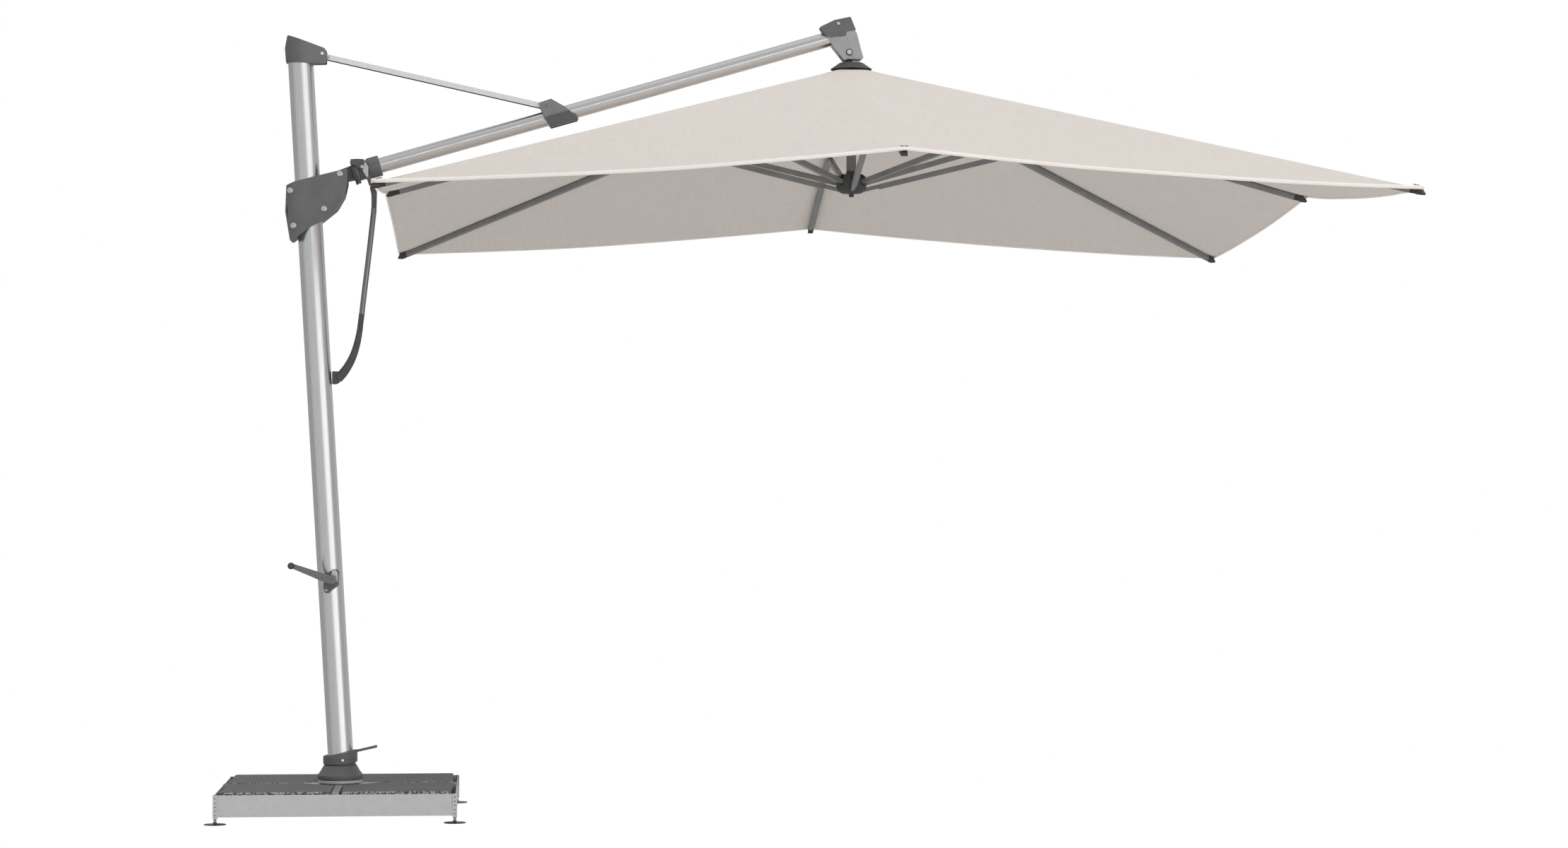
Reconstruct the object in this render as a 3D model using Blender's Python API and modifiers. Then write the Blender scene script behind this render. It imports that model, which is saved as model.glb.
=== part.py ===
"""Cantilever parasol: slab base, leaning mast, carriage, side arm, square canopy.

Metres, +Z up, +X from the mast towards the canopy, front is -Y. It is drawn with the
swivel axis at X 0, and the root empty then moves it so that the origin is on the
ground in the middle of the outline.
Each moving group hangs on an empty that stands on its joint's axis.
"""

import math
from collections import namedtuple

import bmesh
import bpy
from mathutils import Matrix, Vector

# ---------------------------------------------------------------- shared dimensions
GAP = 0.0003  # play between fitted parts
BIG_SEG, SEG = 32, 28  # segments round the mast and round the arm
THROUGH = 0.1  # half length of a drill that passes right through

# base
POST_AT = 0.430  # corner posts and feet, from the centre in X and Y
SCREW_R = 0.004
FOOT_R = 0.040
# mast
MAST_R, MAST_WALL = 0.047, 0.003
MAST_LEAN = math.atan(0.059)  # leans towards -X
MAST_Z = 0.235  # height where the mast axis crosses the swivel axis
MAST_START, MAST_END = -0.0300, 2.605  # along the mast axis
# arm linkage
ARM_PIVOT = Vector((-0.022, 0.0, 2.3716))  # on the carriage
STRUT_TOP = Vector((-0.0486, 0.0, 2.823))  # on the head cap
STRUT_FOOT = Vector((0.765, 0.0, 2.6445))  # on the arm
ARM_SLOPE = math.atan2(0.2790, 0.9603)
ARM_R, ARM_WALL = 0.0285, 0.003
ARM_START, ARM_END = 0.1505, 1.949  # along the arm axis
HEAD_PIN = Vector((1.908, 0.0, 2.858))
HANDLE_PIN = Vector((0.079, 0.0, 2.4106))
# pins and their holes
PIN_R, PIN_HOLE_R = 0.0038, 0.0043
HEAD_PIN_R, HEAD_HOLE_R = 0.0047, 0.0052
ARM_PIN_R, ARM_HOLE_R = 0.0050, 0.0055
SLOT_HALF = 0.0187  # half width of the slots that take the tie strut
# canopy
CROWN_X = 1.9185
CROWN_AT = (CROWN_X - HEAD_PIN.x, 0, 0)  # canopy axis in the crown frame
HINGE_R = 0.042  # radius of the rib and stretcher pivots
JOINT_R = 0.86  # radius of the joints between ribs and stretchers
CORNER_HINGE_Z, MIDDLE_HINGE_Z = 2.7642, 2.7377
RIB_SLOPE = 0.2442  # slope of the line through a rib's pivot and its joint
RIB_ANGLE = math.atan(RIB_SLOPE)
REACH = JOINT_R - HINGE_R
STRETCHER_LENGTH = REACH / math.cos(RIB_ANGLE)
RUNNER_Z = CORNER_HINGE_Z - 2 * REACH * RIB_SLOPE
FABRIC_CORNER = (2.478, 2.2035)  # radius, height of the fabric's tips
FABRIC_MIDDLE = (1.757, 2.3215)

IDENTITY = Matrix.Identity(4)

# ---------------------------------------------------------------- scene
for old in list(bpy.data.objects):
    bpy.data.objects.remove(old, do_unlink=True)

PARTS = bpy.data.collections.new("cantilever_parasol")
CUTTERS = bpy.data.collections.new("cutters")
bpy.context.scene.collection.children.link(PARTS)
bpy.context.scene.collection.children.link(CUTTERS)


def material(name, color, roughness, metallic=0.0):
    mat = bpy.data.materials.new(name)
    mat.use_nodes = True
    bsdf = mat.node_tree.nodes["Principled BSDF"]
    bsdf.inputs["Base Color"].default_value = (*color, 1.0)
    bsdf.inputs["Roughness"].default_value = roughness
    bsdf.inputs["Metallic"].default_value = metallic
    mat.diffuse_color = (*color, 1.0)
    return mat


ALU = material("anodised_aluminium", color=(0.42, 0.42, 0.42), roughness=0.38, metallic=0.9)
RIB_ALU = material(
    "grey_aluminium_profile", color=(0.17, 0.165, 0.16), roughness=0.45, metallic=0.6)
CAST = material(
    "anthracite_casting", color=(0.065, 0.066, 0.068), roughness=0.5, metallic=0.2)
ZINC = material("galvanised_steel", color=(0.45, 0.46, 0.47), roughness=0.45, metallic=0.7)
SLAB = material("concrete_slab", color=(0.09, 0.09, 0.095), roughness=0.9)
STEEL = material("stainless_steel", color=(0.55, 0.55, 0.55), roughness=0.3, metallic=1.0)
PLASTIC = material("black_plastic", color=(0.03, 0.03, 0.03), roughness=0.55)
CLOTH = material("canopy_fabric", color=(0.67, 0.63, 0.59), roughness=0.95)

# ---------------------------------------------------------------- frames
WORLD = {}  # world matrix of each empty as drawn


def pivot(name, at, rotation=IDENTITY, parent=None):
    """An empty at a world place, with a world rotation."""
    world = Matrix.Translation(at) @ rotation
    parent_world = WORLD[parent.name] if parent else IDENTITY
    empty = bpy.data.objects.new(name, None)
    empty.empty_display_size = 0.05
    PARTS.objects.link(empty)
    empty.parent = parent
    empty.matrix_local = parent_world.inverted() @ world
    WORLD[name] = world
    return empty


def rot_y(angle):
    return Matrix.Rotation(angle, 4, "Y")


def rot_z(angle):
    return Matrix.Rotation(angle, 4, "Z")


def local_points(frame, rows):
    """World rows (x, z, ...) in a frame whose Y is the world's; further columns are kept."""
    inverse = WORLD[frame.name].inverted()
    out = []
    for x, z, *rest in rows:
        point = inverse @ Vector((x, 0.0, z))
        out.append((point.x, point.z, *rest))
    return out


def local_point(frame, x, z):
    return local_points(frame, [(x, z)])[0]


# ---------------------------------------------------------------- outlines
def circle(u, v, radius, steps, start=0.0, end=2 * math.pi):
    """Points round a circle, or along an arc with both its ends."""
    closed = abs(end - start - 2 * math.pi) < 1e-9
    angles = [start + (end - start) * i / steps for i in range(steps if closed else steps + 1)]
    return [(u + radius * math.cos(angle), v + radius * math.sin(angle)) for angle in angles]


def stadium(a, b, radius, steps=8):
    """A bar with round ends about the points a and b."""
    angle = math.atan2(b[1] - a[1], b[0] - a[0])
    quarter = math.pi / 2
    return (circle(*b, radius, steps, angle - quarter, angle + quarter)
            + circle(*a, radius, steps, angle + quarter, angle + 3 * quarter))


def square(half):
    return [(-half, -half), (half, -half), (half, half), (-half, half)]


def rounded(corners, steps):
    """Outline of the corners (u, v, radius), each eased by a quadratic curve."""
    out = []
    for i, (u, v, radius) in enumerate(corners):
        corner = Vector((u, v))
        to_last = Vector(corners[i - 1][:2]) - corner
        to_next = Vector(corners[(i + 1) % len(corners)][:2]) - corner
        half = to_last.angle(to_next) / 2
        cut_back = min(radius / math.tan(half), 0.45 * min(to_last.length, to_next.length))
        if cut_back < 1e-6:
            out.append((u, v))
            continue
        start = corner + to_last.normalized() * cut_back
        end = corner + to_next.normalized() * cut_back
        for k in range(steps + 1):
            t = k / steps
            point = start * (1 - t) ** 2 + corner * 2 * t * (1 - t) + end * t ** 2
            out.append((point.x, point.y))
    return out


def lowered(profile, drop):
    """A profile (radius, world height) measured from the height drop."""
    return [(radius, z - drop) for radius, z in profile]


# ---------------------------------------------------------------- shapes
# planes that outlines are drawn on
XY = IDENTITY
XZ = Matrix.Rotation(math.pi / 2, 4, "X")  # (u, v, w) -> (u, -w, v)
YZ = Matrix(((0, 0, 1, 0), (1, 0, 0, 0), (0, 1, 0, 0), (0, 0, 0, 1)))  # -> (w, u, v)
# turns Z into the named axis
AXIS = {
    "X": Matrix.Rotation(math.pi / 2, 4, "Y"),
    "Y": Matrix.Rotation(-math.pi / 2, 4, "X"),
    "Z": IDENTITY,
}


def hide(ob):
    ob.hide_render = True
    ob.display_type = "WIRE"


def add_part(name, mesh, frame, mat, local=IDENTITY, smooth=None):
    """Hangs a mesh on a frame; without a material it is a hidden cutter."""
    ob = bpy.data.objects.new(name, mesh)
    (PARTS if mat else CUTTERS).objects.link(ob)
    ob.parent = frame
    ob.matrix_local = local
    if mat is None:
        hide(ob)
        return ob
    mesh.materials.append(mat)
    if smooth:
        mesh.shade_smooth()
        mesh.set_sharp_from_angle(angle=math.radians(smooth))
    return ob


def mesh_from_bmesh(name, bm):
    mesh = bpy.data.meshes.new(name)
    bm.to_mesh(mesh)
    bm.free()
    return mesh


def mesh_from_curve(name, data):
    ob = bpy.data.objects.new(name + "_curve", data)
    bpy.context.scene.collection.objects.link(ob)
    graph = bpy.context.evaluated_depsgraph_get()
    graph.update()
    mesh = bpy.data.meshes.new_from_object(ob.evaluated_get(graph))
    bpy.data.objects.remove(ob, do_unlink=True)
    mesh.name = name
    return mesh


def weld(mesh):
    """Joins the caps of a curve's mesh to its sides."""
    bm = bmesh.new()
    bm.from_mesh(mesh)
    bmesh.ops.remove_doubles(bm, verts=bm.verts, dist=1e-5)
    bmesh.ops.recalc_face_normals(bm, faces=bm.faces)
    bm.to_mesh(mesh)
    bm.free()


def plate(name, loops, low, high, frame, mat=None, plane=XZ):
    """A flat outline, with holes, extruded from low to high along the plane's axis."""
    data = bpy.data.curves.new(name + "_outline", "CURVE")
    data.dimensions = "2D"
    data.fill_mode = "BOTH"
    data.extrude = (high - low) / 2
    for loop in loops:
        spline = data.splines.new("POLY")
        spline.points.add(len(loop) - 1)
        for point, (u, v) in zip(spline.points, loop):
            point.co = (u, v, 0.0, 1.0)
        spline.use_cyclic_u = True
    mesh = mesh_from_curve(name, data)
    sign = -1.0 if plane is XZ else 1.0
    mesh.transform(plane @ Matrix.Translation((0, 0, sign * (low + high) / 2)))
    weld(mesh)
    return add_part(name, mesh, frame, mat)


def box(name, low, high, frame, mat=None, local=IDENTITY):
    size = [h - l for l, h in zip(low, high)]
    middle = [(h + l) / 2 for l, h in zip(low, high)]
    bm = bmesh.new()
    bmesh.ops.create_cube(bm, size=1.0)
    place = Matrix.Translation(middle) @ Matrix.Diagonal((*size, 1))
    bmesh.ops.transform(bm, matrix=place, verts=bm.verts)
    return add_part(name, mesh_from_bmesh(name, bm), frame, mat, local)


def rod(name, radius, low, high, frame, mat=None, *, seg, axis="Y", at=(0, 0, 0)):
    """A cylinder from low to high along an axis of the frame."""
    bm = bmesh.new()
    bmesh.ops.create_cone(
        bm, cap_ends=True, cap_tris=False, segments=seg,
        radius1=radius, radius2=radius, depth=high - low)
    middle = Vector(at) + AXIS[axis] @ Vector((0, 0, (low + high) / 2))
    bmesh.ops.transform(bm, matrix=Matrix.Translation(middle) @ AXIS[axis], verts=bm.verts)
    return add_part(name, mesh_from_bmesh(name, bm), frame, mat, smooth=35)


def turned(name, profile, frame, mat=None, *, seg, axis="Z", at=(0, 0, 0), ring=False,
           local=IDENTITY):
    """A profile (radius, height) turned about an axis; a ring's profile is closed."""
    bm = bmesh.new()
    verts = [bm.verts.new((radius, 0.0, z)) for radius, z in profile]
    for a, b in zip(verts, verts[1:]):
        bm.edges.new((a, b))
    if ring:
        bm.edges.new((verts[-1], verts[0]))
    place = local @ Matrix.Translation(at) @ AXIS[axis]
    ob = add_part(name, mesh_from_bmesh(name, bm), frame, mat, place)
    mod = ob.modifiers.new("turn", "SCREW")
    mod.axis = "Z"
    mod.angle = 2 * math.pi
    mod.steps = mod.render_steps = seg
    mod.use_merge_vertices = True
    mod.merge_threshold = 0.00002
    mod.use_smooth_shade = False
    return ob


def tube(name, outer, inner, low, high, frame, mat=None, **options):
    profile = [(outer, high), (outer, low), (inner, low), (inner, high)]
    return turned(name, profile, frame, mat, ring=True, **options)


def pipe(name, stations, frame, mat):
    """A round bar through stations (x, z, radius), with caps."""
    data = bpy.data.curves.new(name + "_path", "CURVE")
    data.dimensions = "3D"
    data.bevel_depth = 1.0
    data.bevel_resolution = 3
    data.use_fill_caps = True
    spline = data.splines.new("POLY")
    spline.points.add(len(stations) - 1)
    for point, (x, z, radius) in zip(spline.points, stations):
        point.co = (x, 0.0, z, 1.0)
        point.radius = radius
    mesh = mesh_from_curve(name, data)
    weld(mesh)
    return add_part(name, mesh, frame, mat, smooth=40)


def boolean(ob, other, operation):
    mod = ob.modifiers.new(operation.lower(), "BOOLEAN")
    mod.operation = operation
    mod.object = other
    mod.solver = "EXACT"


def cut(ob, *others):
    for other in others:
        boolean(ob, other, "DIFFERENCE")


def join(ob, *others):
    """Adds shapes to a part; the shapes themselves become hidden guides."""
    for other in others:
        PARTS.objects.unlink(other)
        CUTTERS.objects.link(other)
        hide(other)
        boolean(ob, other, "UNION")


def drill(ob, name, radius, frame, seg, x=0.0, z=0.0):
    """A hole right through a part along the frame's Y."""
    cut(ob, rod(name, radius, -THROUGH, THROUGH, frame, at=(x, 0, z), seg=seg))


def capped_pin(name, radius, half, cap_name, cap_radius, cap_span, frame, x, z, seg, cap_seg):
    """A pin along Y with a round cap on each end; cap_span is the cap's |y| range."""
    at = (x, 0, z)
    inner, outer = cap_span
    pin = rod(name, radius, -half, half, frame, STEEL, at=at, seg=seg)
    for low, high in ((-outer, -inner), (inner, outer)):
        join(pin, rod(cap_name, cap_radius, low, high, frame, STEEL, at=at, seg=cap_seg))


# ================================================================ base
FRAME_HALF = 0.435  # outer half width of the square steel tray
FRAME_Z0, FRAME_Z1 = 0.027, 0.1058
FRAME_WALL = 0.003
SHELF_INSET = 0.042  # inner edge of the shelf, from the tray's outside
POST_HALF, POST_Z0 = 0.008, 0.020
CROSS_HALF, CROSS_ARM_HALF = 0.4315, 0.013  # half length and half width of the bars
CROSS_Z0, CROSS_Z1 = 0.0304, 0.1125
STEP = 0.0002  # keeps joined faces from lying in one plane
SLAB_EDGE, SLAB_GAP, SLAB_INNER, SLAB_CHAMFER = 0.4155, 0.0145, 0.124, 0.010
SLAB_Z0, SLAB_TOP = FRAME_Z0 + 0.0034, 0.1148
CORNERS = {  # signs of X and Y
    "front_left": (-1, -1), "back_left": (-1, 1),
    "front_right": (1, -1), "back_right": (1, 1),
}
# turned profiles: radius, height
FLANGE_PROFILE = [
    (0.0, 0.127), (0.0805, 0.127), (0.0825, 0.125), (0.0825, 0.1165),
    (0.0815, 0.1153), (0.0, 0.1153),
]
CONE_PROFILE = [
    (0.0, 0.214), (0.030, 0.214), (0.0315, 0.2125), (0.0315, 0.180),
    (0.0595, 0.180), (0.0625, 0.174), (0.0705, 0.158), (0.080, 0.147),
    (0.084, 0.1445), (0.084, 0.130), (0.082, 0.1275), (0.0, 0.1275),
]
FOOT_PROFILE = [
    (0.0, 0.090), (SCREW_R - 0.0008, 0.090), (SCREW_R, 0.089), (SCREW_R, 0.0115),
    (0.0085, 0.0115), (0.0085, 0.0065), (0.0125, 0.0055), (0.036, 0.004),
    (FOOT_R, 0.0028), (FOOT_R, 0.0), (0.0, 0.0),
]


def build_tray(base):
    """Square tray with an inward shelf and a drilled post in each corner."""
    tray = plate("base_frame", [square(FRAME_HALF), square(FRAME_HALF - FRAME_WALL)],
                 FRAME_Z0, FRAME_Z1, base, ZINC, XY)
    join(tray, plate("shelf", [square(FRAME_HALF - 0.001), square(FRAME_HALF - SHELF_INSET)],
                     FRAME_Z0, FRAME_Z0 + FRAME_WALL, base, ZINC, XY))
    places = [(sx * POST_AT, sy * POST_AT) for sx, sy in CORNERS.values()]
    for x, y in places:
        join(tray, box("post", (x - POST_HALF, y - POST_HALF, POST_Z0),
                       (x + POST_HALF, y + POST_HALF, FRAME_Z1 + STEP), base, ZINC))
    for x, y in places:
        cut(tray, rod("screw_hole", SCREW_R + 0.0006, 0.0, 0.2, base,
                      axis="Z", at=(x, y, 0), seg=12))


def build_cross(base):
    """Two crossing bars with a disc in the middle."""
    cross = box("base_cross", (-CROSS_HALF, -CROSS_ARM_HALF, CROSS_Z0),
                (CROSS_HALF, CROSS_ARM_HALF, CROSS_Z1), base, ZINC)
    join(cross, box("cross_bar", (-CROSS_ARM_HALF, -CROSS_HALF, CROSS_Z0 + STEP),
                    (CROSS_ARM_HALF, CROSS_HALF, CROSS_Z1 + STEP), base, ZINC))
    join(cross, rod("cross_disc", 0.076, 0.100, 0.1147, base, ZINC, axis="Z", seg=BIG_SEG))


def build_slabs_and_feet(base):
    """In each corner a slab, and a levelling foot: screw and disc."""
    outline = [
        (SLAB_GAP, SLAB_INNER), (SLAB_GAP, SLAB_EDGE), (SLAB_EDGE - SLAB_CHAMFER, SLAB_EDGE),
        (SLAB_EDGE, SLAB_EDGE - SLAB_CHAMFER), (SLAB_EDGE, SLAB_GAP), (SLAB_INNER, SLAB_GAP),
    ]
    for label, (sx, sy) in CORNERS.items():
        loop = [(sx * x, sy * y) for x, y in outline]
        plate("slab_" + label, [loop], SLAB_Z0, SLAB_TOP, base, SLAB, XY)
        foot = pivot("foot_pivot_" + label, (sx * POST_AT, sy * POST_AT, 0.0), parent=base)
        turned("foot_" + label, FOOT_PROFILE, foot, STEEL, seg=12)


def build_base():
    base = pivot("base_pivot", (0, 0, 0))
    build_tray(base)
    build_cross(base)
    build_slabs_and_feet(base)
    turned("base_flange", FLANGE_PROFILE, base, STEEL, seg=BIG_SEG)
    turned("foot_cone", CONE_PROFILE, base, CAST, seg=BIG_SEG)
    return base


# ================================================================ mast
COLLAR_PROFILE = [  # radius, height
    (0.0, 0.232), (0.0570, 0.232), (0.0570, 0.1850), (0.0600, 0.1835),
    (0.0600, 0.1805), (0.0345, 0.1805), (0.0345, 0.2165), (0.0, 0.2165),
]
CAP_HALF = 0.0535
CAP_CORNERS = [  # world x, z, corner radius
    (-0.199, 2.902, 0.006), (-0.210, 2.854, 0.002), (-0.2055, 2.801, 0.004),
    (-0.099, 2.7995, 0), (-0.060, 2.7995, 0.003), (-0.0545, 2.803, 0.003),
    (-0.0535, 2.842, 0.006), (-0.062, 2.8555, 0.01),
]
CRANK = Vector((-0.028, 0.0, 0.874))  # crank axis, along Y
HOUSING_CORNERS = [  # x, z, corner radius
    (-0.062, 0.842, 0.006), (-0.056, 0.822, 0.006), (-0.042, 0.822, 0.006),
    (-0.006, 0.850, 0.006), (-0.003, 0.900, 0.006), (-0.012, 0.912, 0.006),
    (-0.048, 0.897, 0.006), (-0.060, 0.880, 0.006),
]
BLADE_CORNERS = [  # x, y, corner radius
    (0.0622, -0.016, 0.002), (0.1345, -0.024, 0.002), (0.1385, -0.020, 0.002),
    (0.1385, 0.020, 0.002), (0.1345, 0.024, 0.002), (0.0622, 0.016, 0.002),
]


def remove_above(rim, name):
    """A block that cuts away what lies above a tilted rim."""
    return box(name, (-0.1, -0.1, 0.0), (0.1, 0.1, 0.08), rim)


def build_collar(swivel, mast):
    """The collar turns on the foot cone; the mast stands in its socket, round a plug."""
    collar = turned("swivel_collar", COLLAR_PROFILE, swivel, CAST, seg=BIG_SEG)
    rim = pivot("collar_rim", (0.0, 0.0, 0.2185), rot_y(-math.atan(0.125)), swivel)
    above = remove_above(rim, "collar_top")
    # the plug is spared from the cut
    cut(above, rod("collar_plug", MAST_R - MAST_WALL / 2, -0.2, 0.2, mast,
                   axis="Z", seg=BIG_SEG))
    cut(collar, above)
    cut(collar, tube("collar_socket", MAST_R + GAP, MAST_R - MAST_WALL - GAP,
                     MAST_START, 0.06, mast, seg=BIG_SEG))


def build_head_cap(mast):
    """Casting on the mast top, with a forked snout for the tie strut."""
    cap = plate("mast_head_cap", [rounded(local_points(mast, CAP_CORNERS), 2)],
                -CAP_HALF, CAP_HALF, mast, CAST)
    # the snout narrows in plan towards the strut
    wide_x = local_point(mast, -0.105, 2.83)[0]
    tip_x = local_point(mast, -0.040, 2.83)[0]
    for side in (-1, 1):
        waste = [
            (wide_x, side * 0.0545), (wide_x, side * 0.0700), (tip_x + 0.03, side * 0.0700),
            (tip_x + 0.03, side * 0.0285), (tip_x - 0.010, side * 0.0285),
        ]
        cut(cap, plate("snout_taper", [waste], MAST_END - 0.2, MAST_END + 0.25, mast, plane=XY))
    x, z = local_point(mast, STRUT_TOP.x, STRUT_TOP.z)
    join(cap, plate("cap_lug", [stadium((x - 0.03, z + 0.002), (x, z), 0.0135)],
                    -0.0275, 0.0275, mast, CAST))
    cut(cap, rod("cap_bore", MAST_R + GAP, 2.3, MAST_END + 0.0005, mast,
                 axis="Z", seg=BIG_SEG))
    slot = [(x - 0.0125, z + 0.0125), (x - 0.0125, z - 0.08),
            (x + 0.08, z - 0.08), (x + 0.08, z + 0.0125)]
    cut(cap, plate("cap_slot", [slot], -SLOT_HALF, SLOT_HALF, mast))
    drill(cap, "cap_pin_hole", PIN_HOLE_R, mast, 16, x, z)
    rod("strut_top_pin", PIN_R, -0.0265, 0.0265, mast, STEEL, at=(x, 0, z), seg=16)


def build_crank_housing(swivel, mast):
    """Housing on the front of the mast, with a bored boss."""
    at = (CRANK.x, 0, CRANK.z)
    housing = plate("crank_housing", [rounded(HOUSING_CORNERS, 2)],
                    -0.060, -0.030, swivel, CAST)
    join(housing, rod("housing_boss", 0.0225, -0.0845, -0.055, swivel, CAST, at=at, seg=28))
    cut(housing, rod("housing_saddle", MAST_R + GAP, 0.3, 1.0, mast, axis="Z", seg=BIG_SEG))
    cut(housing, rod("housing_bore", 0.0068, -0.2, -0.0515, swivel, at=at, seg=20))


def build_pedal(swivel):
    """Pedal that frees the swivel: a sleeve round the collar and a blade towards +X."""
    pedal = pivot("pedal_pivot", (0.0, 0.0, 0.2125), parent=swivel)
    sleeve = tube("swivel_pedal", 0.0636, 0.0605, -0.0190, 0.036, pedal, CAST, seg=BIG_SEG)
    lid = pivot("pedal_lid", (0.0, 0.0, 0.2260), rot_y(-math.atan(0.185)), pedal)
    cut(sleeve, remove_above(lid, "pedal_top"))
    join(sleeve, tube("pedal_lip", 0.0622, 0.0500, -0.0031, -0.0001, lid, CAST, seg=BIG_SEG))
    tread = pivot("pedal_tread", (0.0, 0.0, 0.2225), rot_y(-math.atan(0.226)), pedal)
    join(sleeve, plate("pedal_blade", [rounded(BLADE_CORNERS, 2)],
                       -0.0075, 0.0, tread, CAST, XY))


def build_mast(base):
    swivel = pivot("mast_swivel_pivot", (0, 0, 0), parent=base)
    mast = pivot("mast_axis", (0, 0, MAST_Z), rot_y(-MAST_LEAN), swivel)
    build_collar(swivel, mast)
    tube("mast_tube", MAST_R, MAST_R - MAST_WALL, MAST_START + GAP, MAST_END,
         mast, ALU, seg=BIG_SEG)
    build_head_cap(mast)
    build_crank_housing(swivel, mast)
    build_pedal(swivel)
    return swivel, mast


# ================================================================ crank
KNOB_X, KNOB_Z = -0.149, 0.051  # knob axis from the crank axis
KNOB_Y = -0.105
KNOB_PROFILE = [  # radius, distance out from the crank arm
    (0.0042, 0.0420), (0.0075, 0.0412), (0.0112, 0.0360), (0.0126, 0.0250),
    (0.0122, 0.0120), (0.0105, 0.0030), (0.0080, 0.0005), (0.0042, 0.0005),
]


def build_crank(swivel):
    crank = pivot("crank_pivot", CRANK, parent=swivel)
    outline = circle(0, 0, 0.0165, 16, math.radians(-110), math.radians(150))
    outline += [(-0.0090, 0.0150)]
    outline += circle(KNOB_X, KNOB_Z, 0.0085, 8, math.radians(72), math.radians(252))
    outline += [(-0.02, -0.0135)]
    arm = plate("crank_arm", [outline], KNOB_Y, -0.0865, crank, CAST)
    join(arm, rod("crank_shaft", 0.0062, -0.0900, -0.0525, crank, CAST, seg=16))
    join(arm, rod("knob_spindle", 0.0035, -0.1465, -0.1000, crank, CAST,
                  at=(KNOB_X, 0, KNOB_Z), seg=12))
    knob = pivot("knob_pivot", CRANK + Vector((KNOB_X, KNOB_Y, KNOB_Z)), parent=crank)
    # the half turn points the profile's axis to -Y
    turned("crank_knob", KNOB_PROFILE, knob, PLASTIC, axis="Y", seg=16, ring=True,
           local=rot_z(math.pi))


# ================================================================ tie strut
def build_tie(swivel):
    span = STRUT_FOOT - STRUT_TOP
    tie = pivot("canopy_fold_pivot", STRUT_TOP, rot_y(-math.atan2(span.z, span.x)), swivel)
    length = span.length
    loops = [stadium((0, 0), (length, 0), 0.010),
             circle(0, 0, PIN_HOLE_R, 14), circle(length, 0, PIN_HOLE_R, 14)]
    plate("tie_strut", loops, -0.018, 0.018, tie, ALU)
    return tie


# ================================================================ arm
# x runs along the arm axis from the arm pivot
NECK_OUTLINE = [  # x, z
    (-0.004, -0.0185), (0.030, -0.023), (0.075, -0.027),
    (0.075, 0.027), (0.030, 0.023), (-0.004, 0.0185),
]
BRACKET_OUTLINE = [  # x, z
    (0.8097, 0.0630), (0.8125, 0.0), (0.8225, -0.026), (0.8283, -0.0385),
    (0.9352, -0.0385), (0.9345, -0.031), (0.8990, 0.0225), (0.8570, 0.0655),
]
BRACKET_R = 0.0372  # round underside of the bracket
BRACKET_SIDES = [  # y, z
    (BRACKET_R, 0.012), (0.0310, 0.030), (0.0275, 0.075),
    (-0.0275, 0.075), (-0.0310, 0.030), (-BRACKET_R, 0.012),
]
SLEEVE_PROFILE = [  # radius, x
    (0.0388, 0.1745), (0.0385, 0.1290), (0.0345, 0.1265), (0.0345, 0.0890),
    (0.0450, 0.0886), (0.0450, 0.0788), (0.0180, 0.0788), (0.0180, 0.1500),
    (ARM_R + GAP, 0.1500), (ARM_R + GAP, 0.1745),
]
HEAD_CORNERS = [  # world x, z, corner radius
    (1.799, 2.953, 0.004), (1.852, 2.978, 0.01), (1.912, 2.991, 0.012),
    (1.928, 2.954, 0.01), (1.938, 2.916, 0.01), (1.962, 2.838, 0.004),
    (1.953, 2.8305, 0.004), (1.902, 2.8325, 0.004), (1.8895, 2.8270, 0.006),
    (1.843, 2.886, 0.003),
]
HEAD_SLOT_R = 0.0158  # clearance round the crown lug
HEAD_SLOT_END = math.radians(128)  # where the slot leaves the round


def build_fork(arm):
    fork = rod("arm_fork", 0.0195, -0.033, 0.033, arm, CAST, seg=28)
    join(fork,
         plate("fork_neck", [NECK_OUTLINE], -0.030, 0.030, arm, CAST),
         rod("fork_disc", 0.045, 0.0686, 0.0783, arm, CAST, axis="X", seg=SEG),
         rod("fork_spigot", 0.0175, 0.070, 0.1015, arm, CAST, axis="X", seg=24))
    drill(fork, "fork_eye", ARM_HOLE_R, arm, 18)


def build_bracket(arm):
    """Bracket round the arm that takes the foot of the tie strut."""
    x, z = local_point(arm, STRUT_FOOT.x, STRUT_FOOT.z)
    bracket = plate("strut_bracket", [BRACKET_OUTLINE], -0.040, 0.040, arm, CAST)
    section = circle(0, 0, BRACKET_R, 16, math.pi, 2 * math.pi) + BRACKET_SIDES
    boolean(bracket, plate("bracket_section", [section], 0.78, 0.96, arm, plane=YZ),
            "INTERSECT")
    cut(bracket,
        rod("bracket_bore", ARM_R + GAP, 0.7, 1.0, arm, axis="X", seg=SEG),
        box("bracket_slot", (0.76, -SLOT_HALF, 0.0321), (1.0, SLOT_HALF, 0.1), arm))
    drill(bracket, "bracket_pin_hole", PIN_HOLE_R, arm, 16, x, z)
    rod("bracket_pin", PIN_R, -0.0285, 0.0285, arm, STEEL, at=(x, 0, z), seg=16)


def build_sleeve(tilt):
    """Tilt sleeve at the arm's mast end, with the handle's pin."""
    x, z = local_point(tilt, HANDLE_PIN.x, HANDLE_PIN.z)
    sleeve = turned("tilt_sleeve", SLEEVE_PROFILE, tilt, CAST, axis="X", seg=SEG, ring=True)
    drill(sleeve, "handle_pin_hole", PIN_HOLE_R, tilt, 14, x, z)
    capped_pin("handle_pin", PIN_R, 0.0500, "handle_pin_cap", 0.0075, (0.0488, 0.0515),
               tilt, x, z, seg=14, cap_seg=14)


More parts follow.
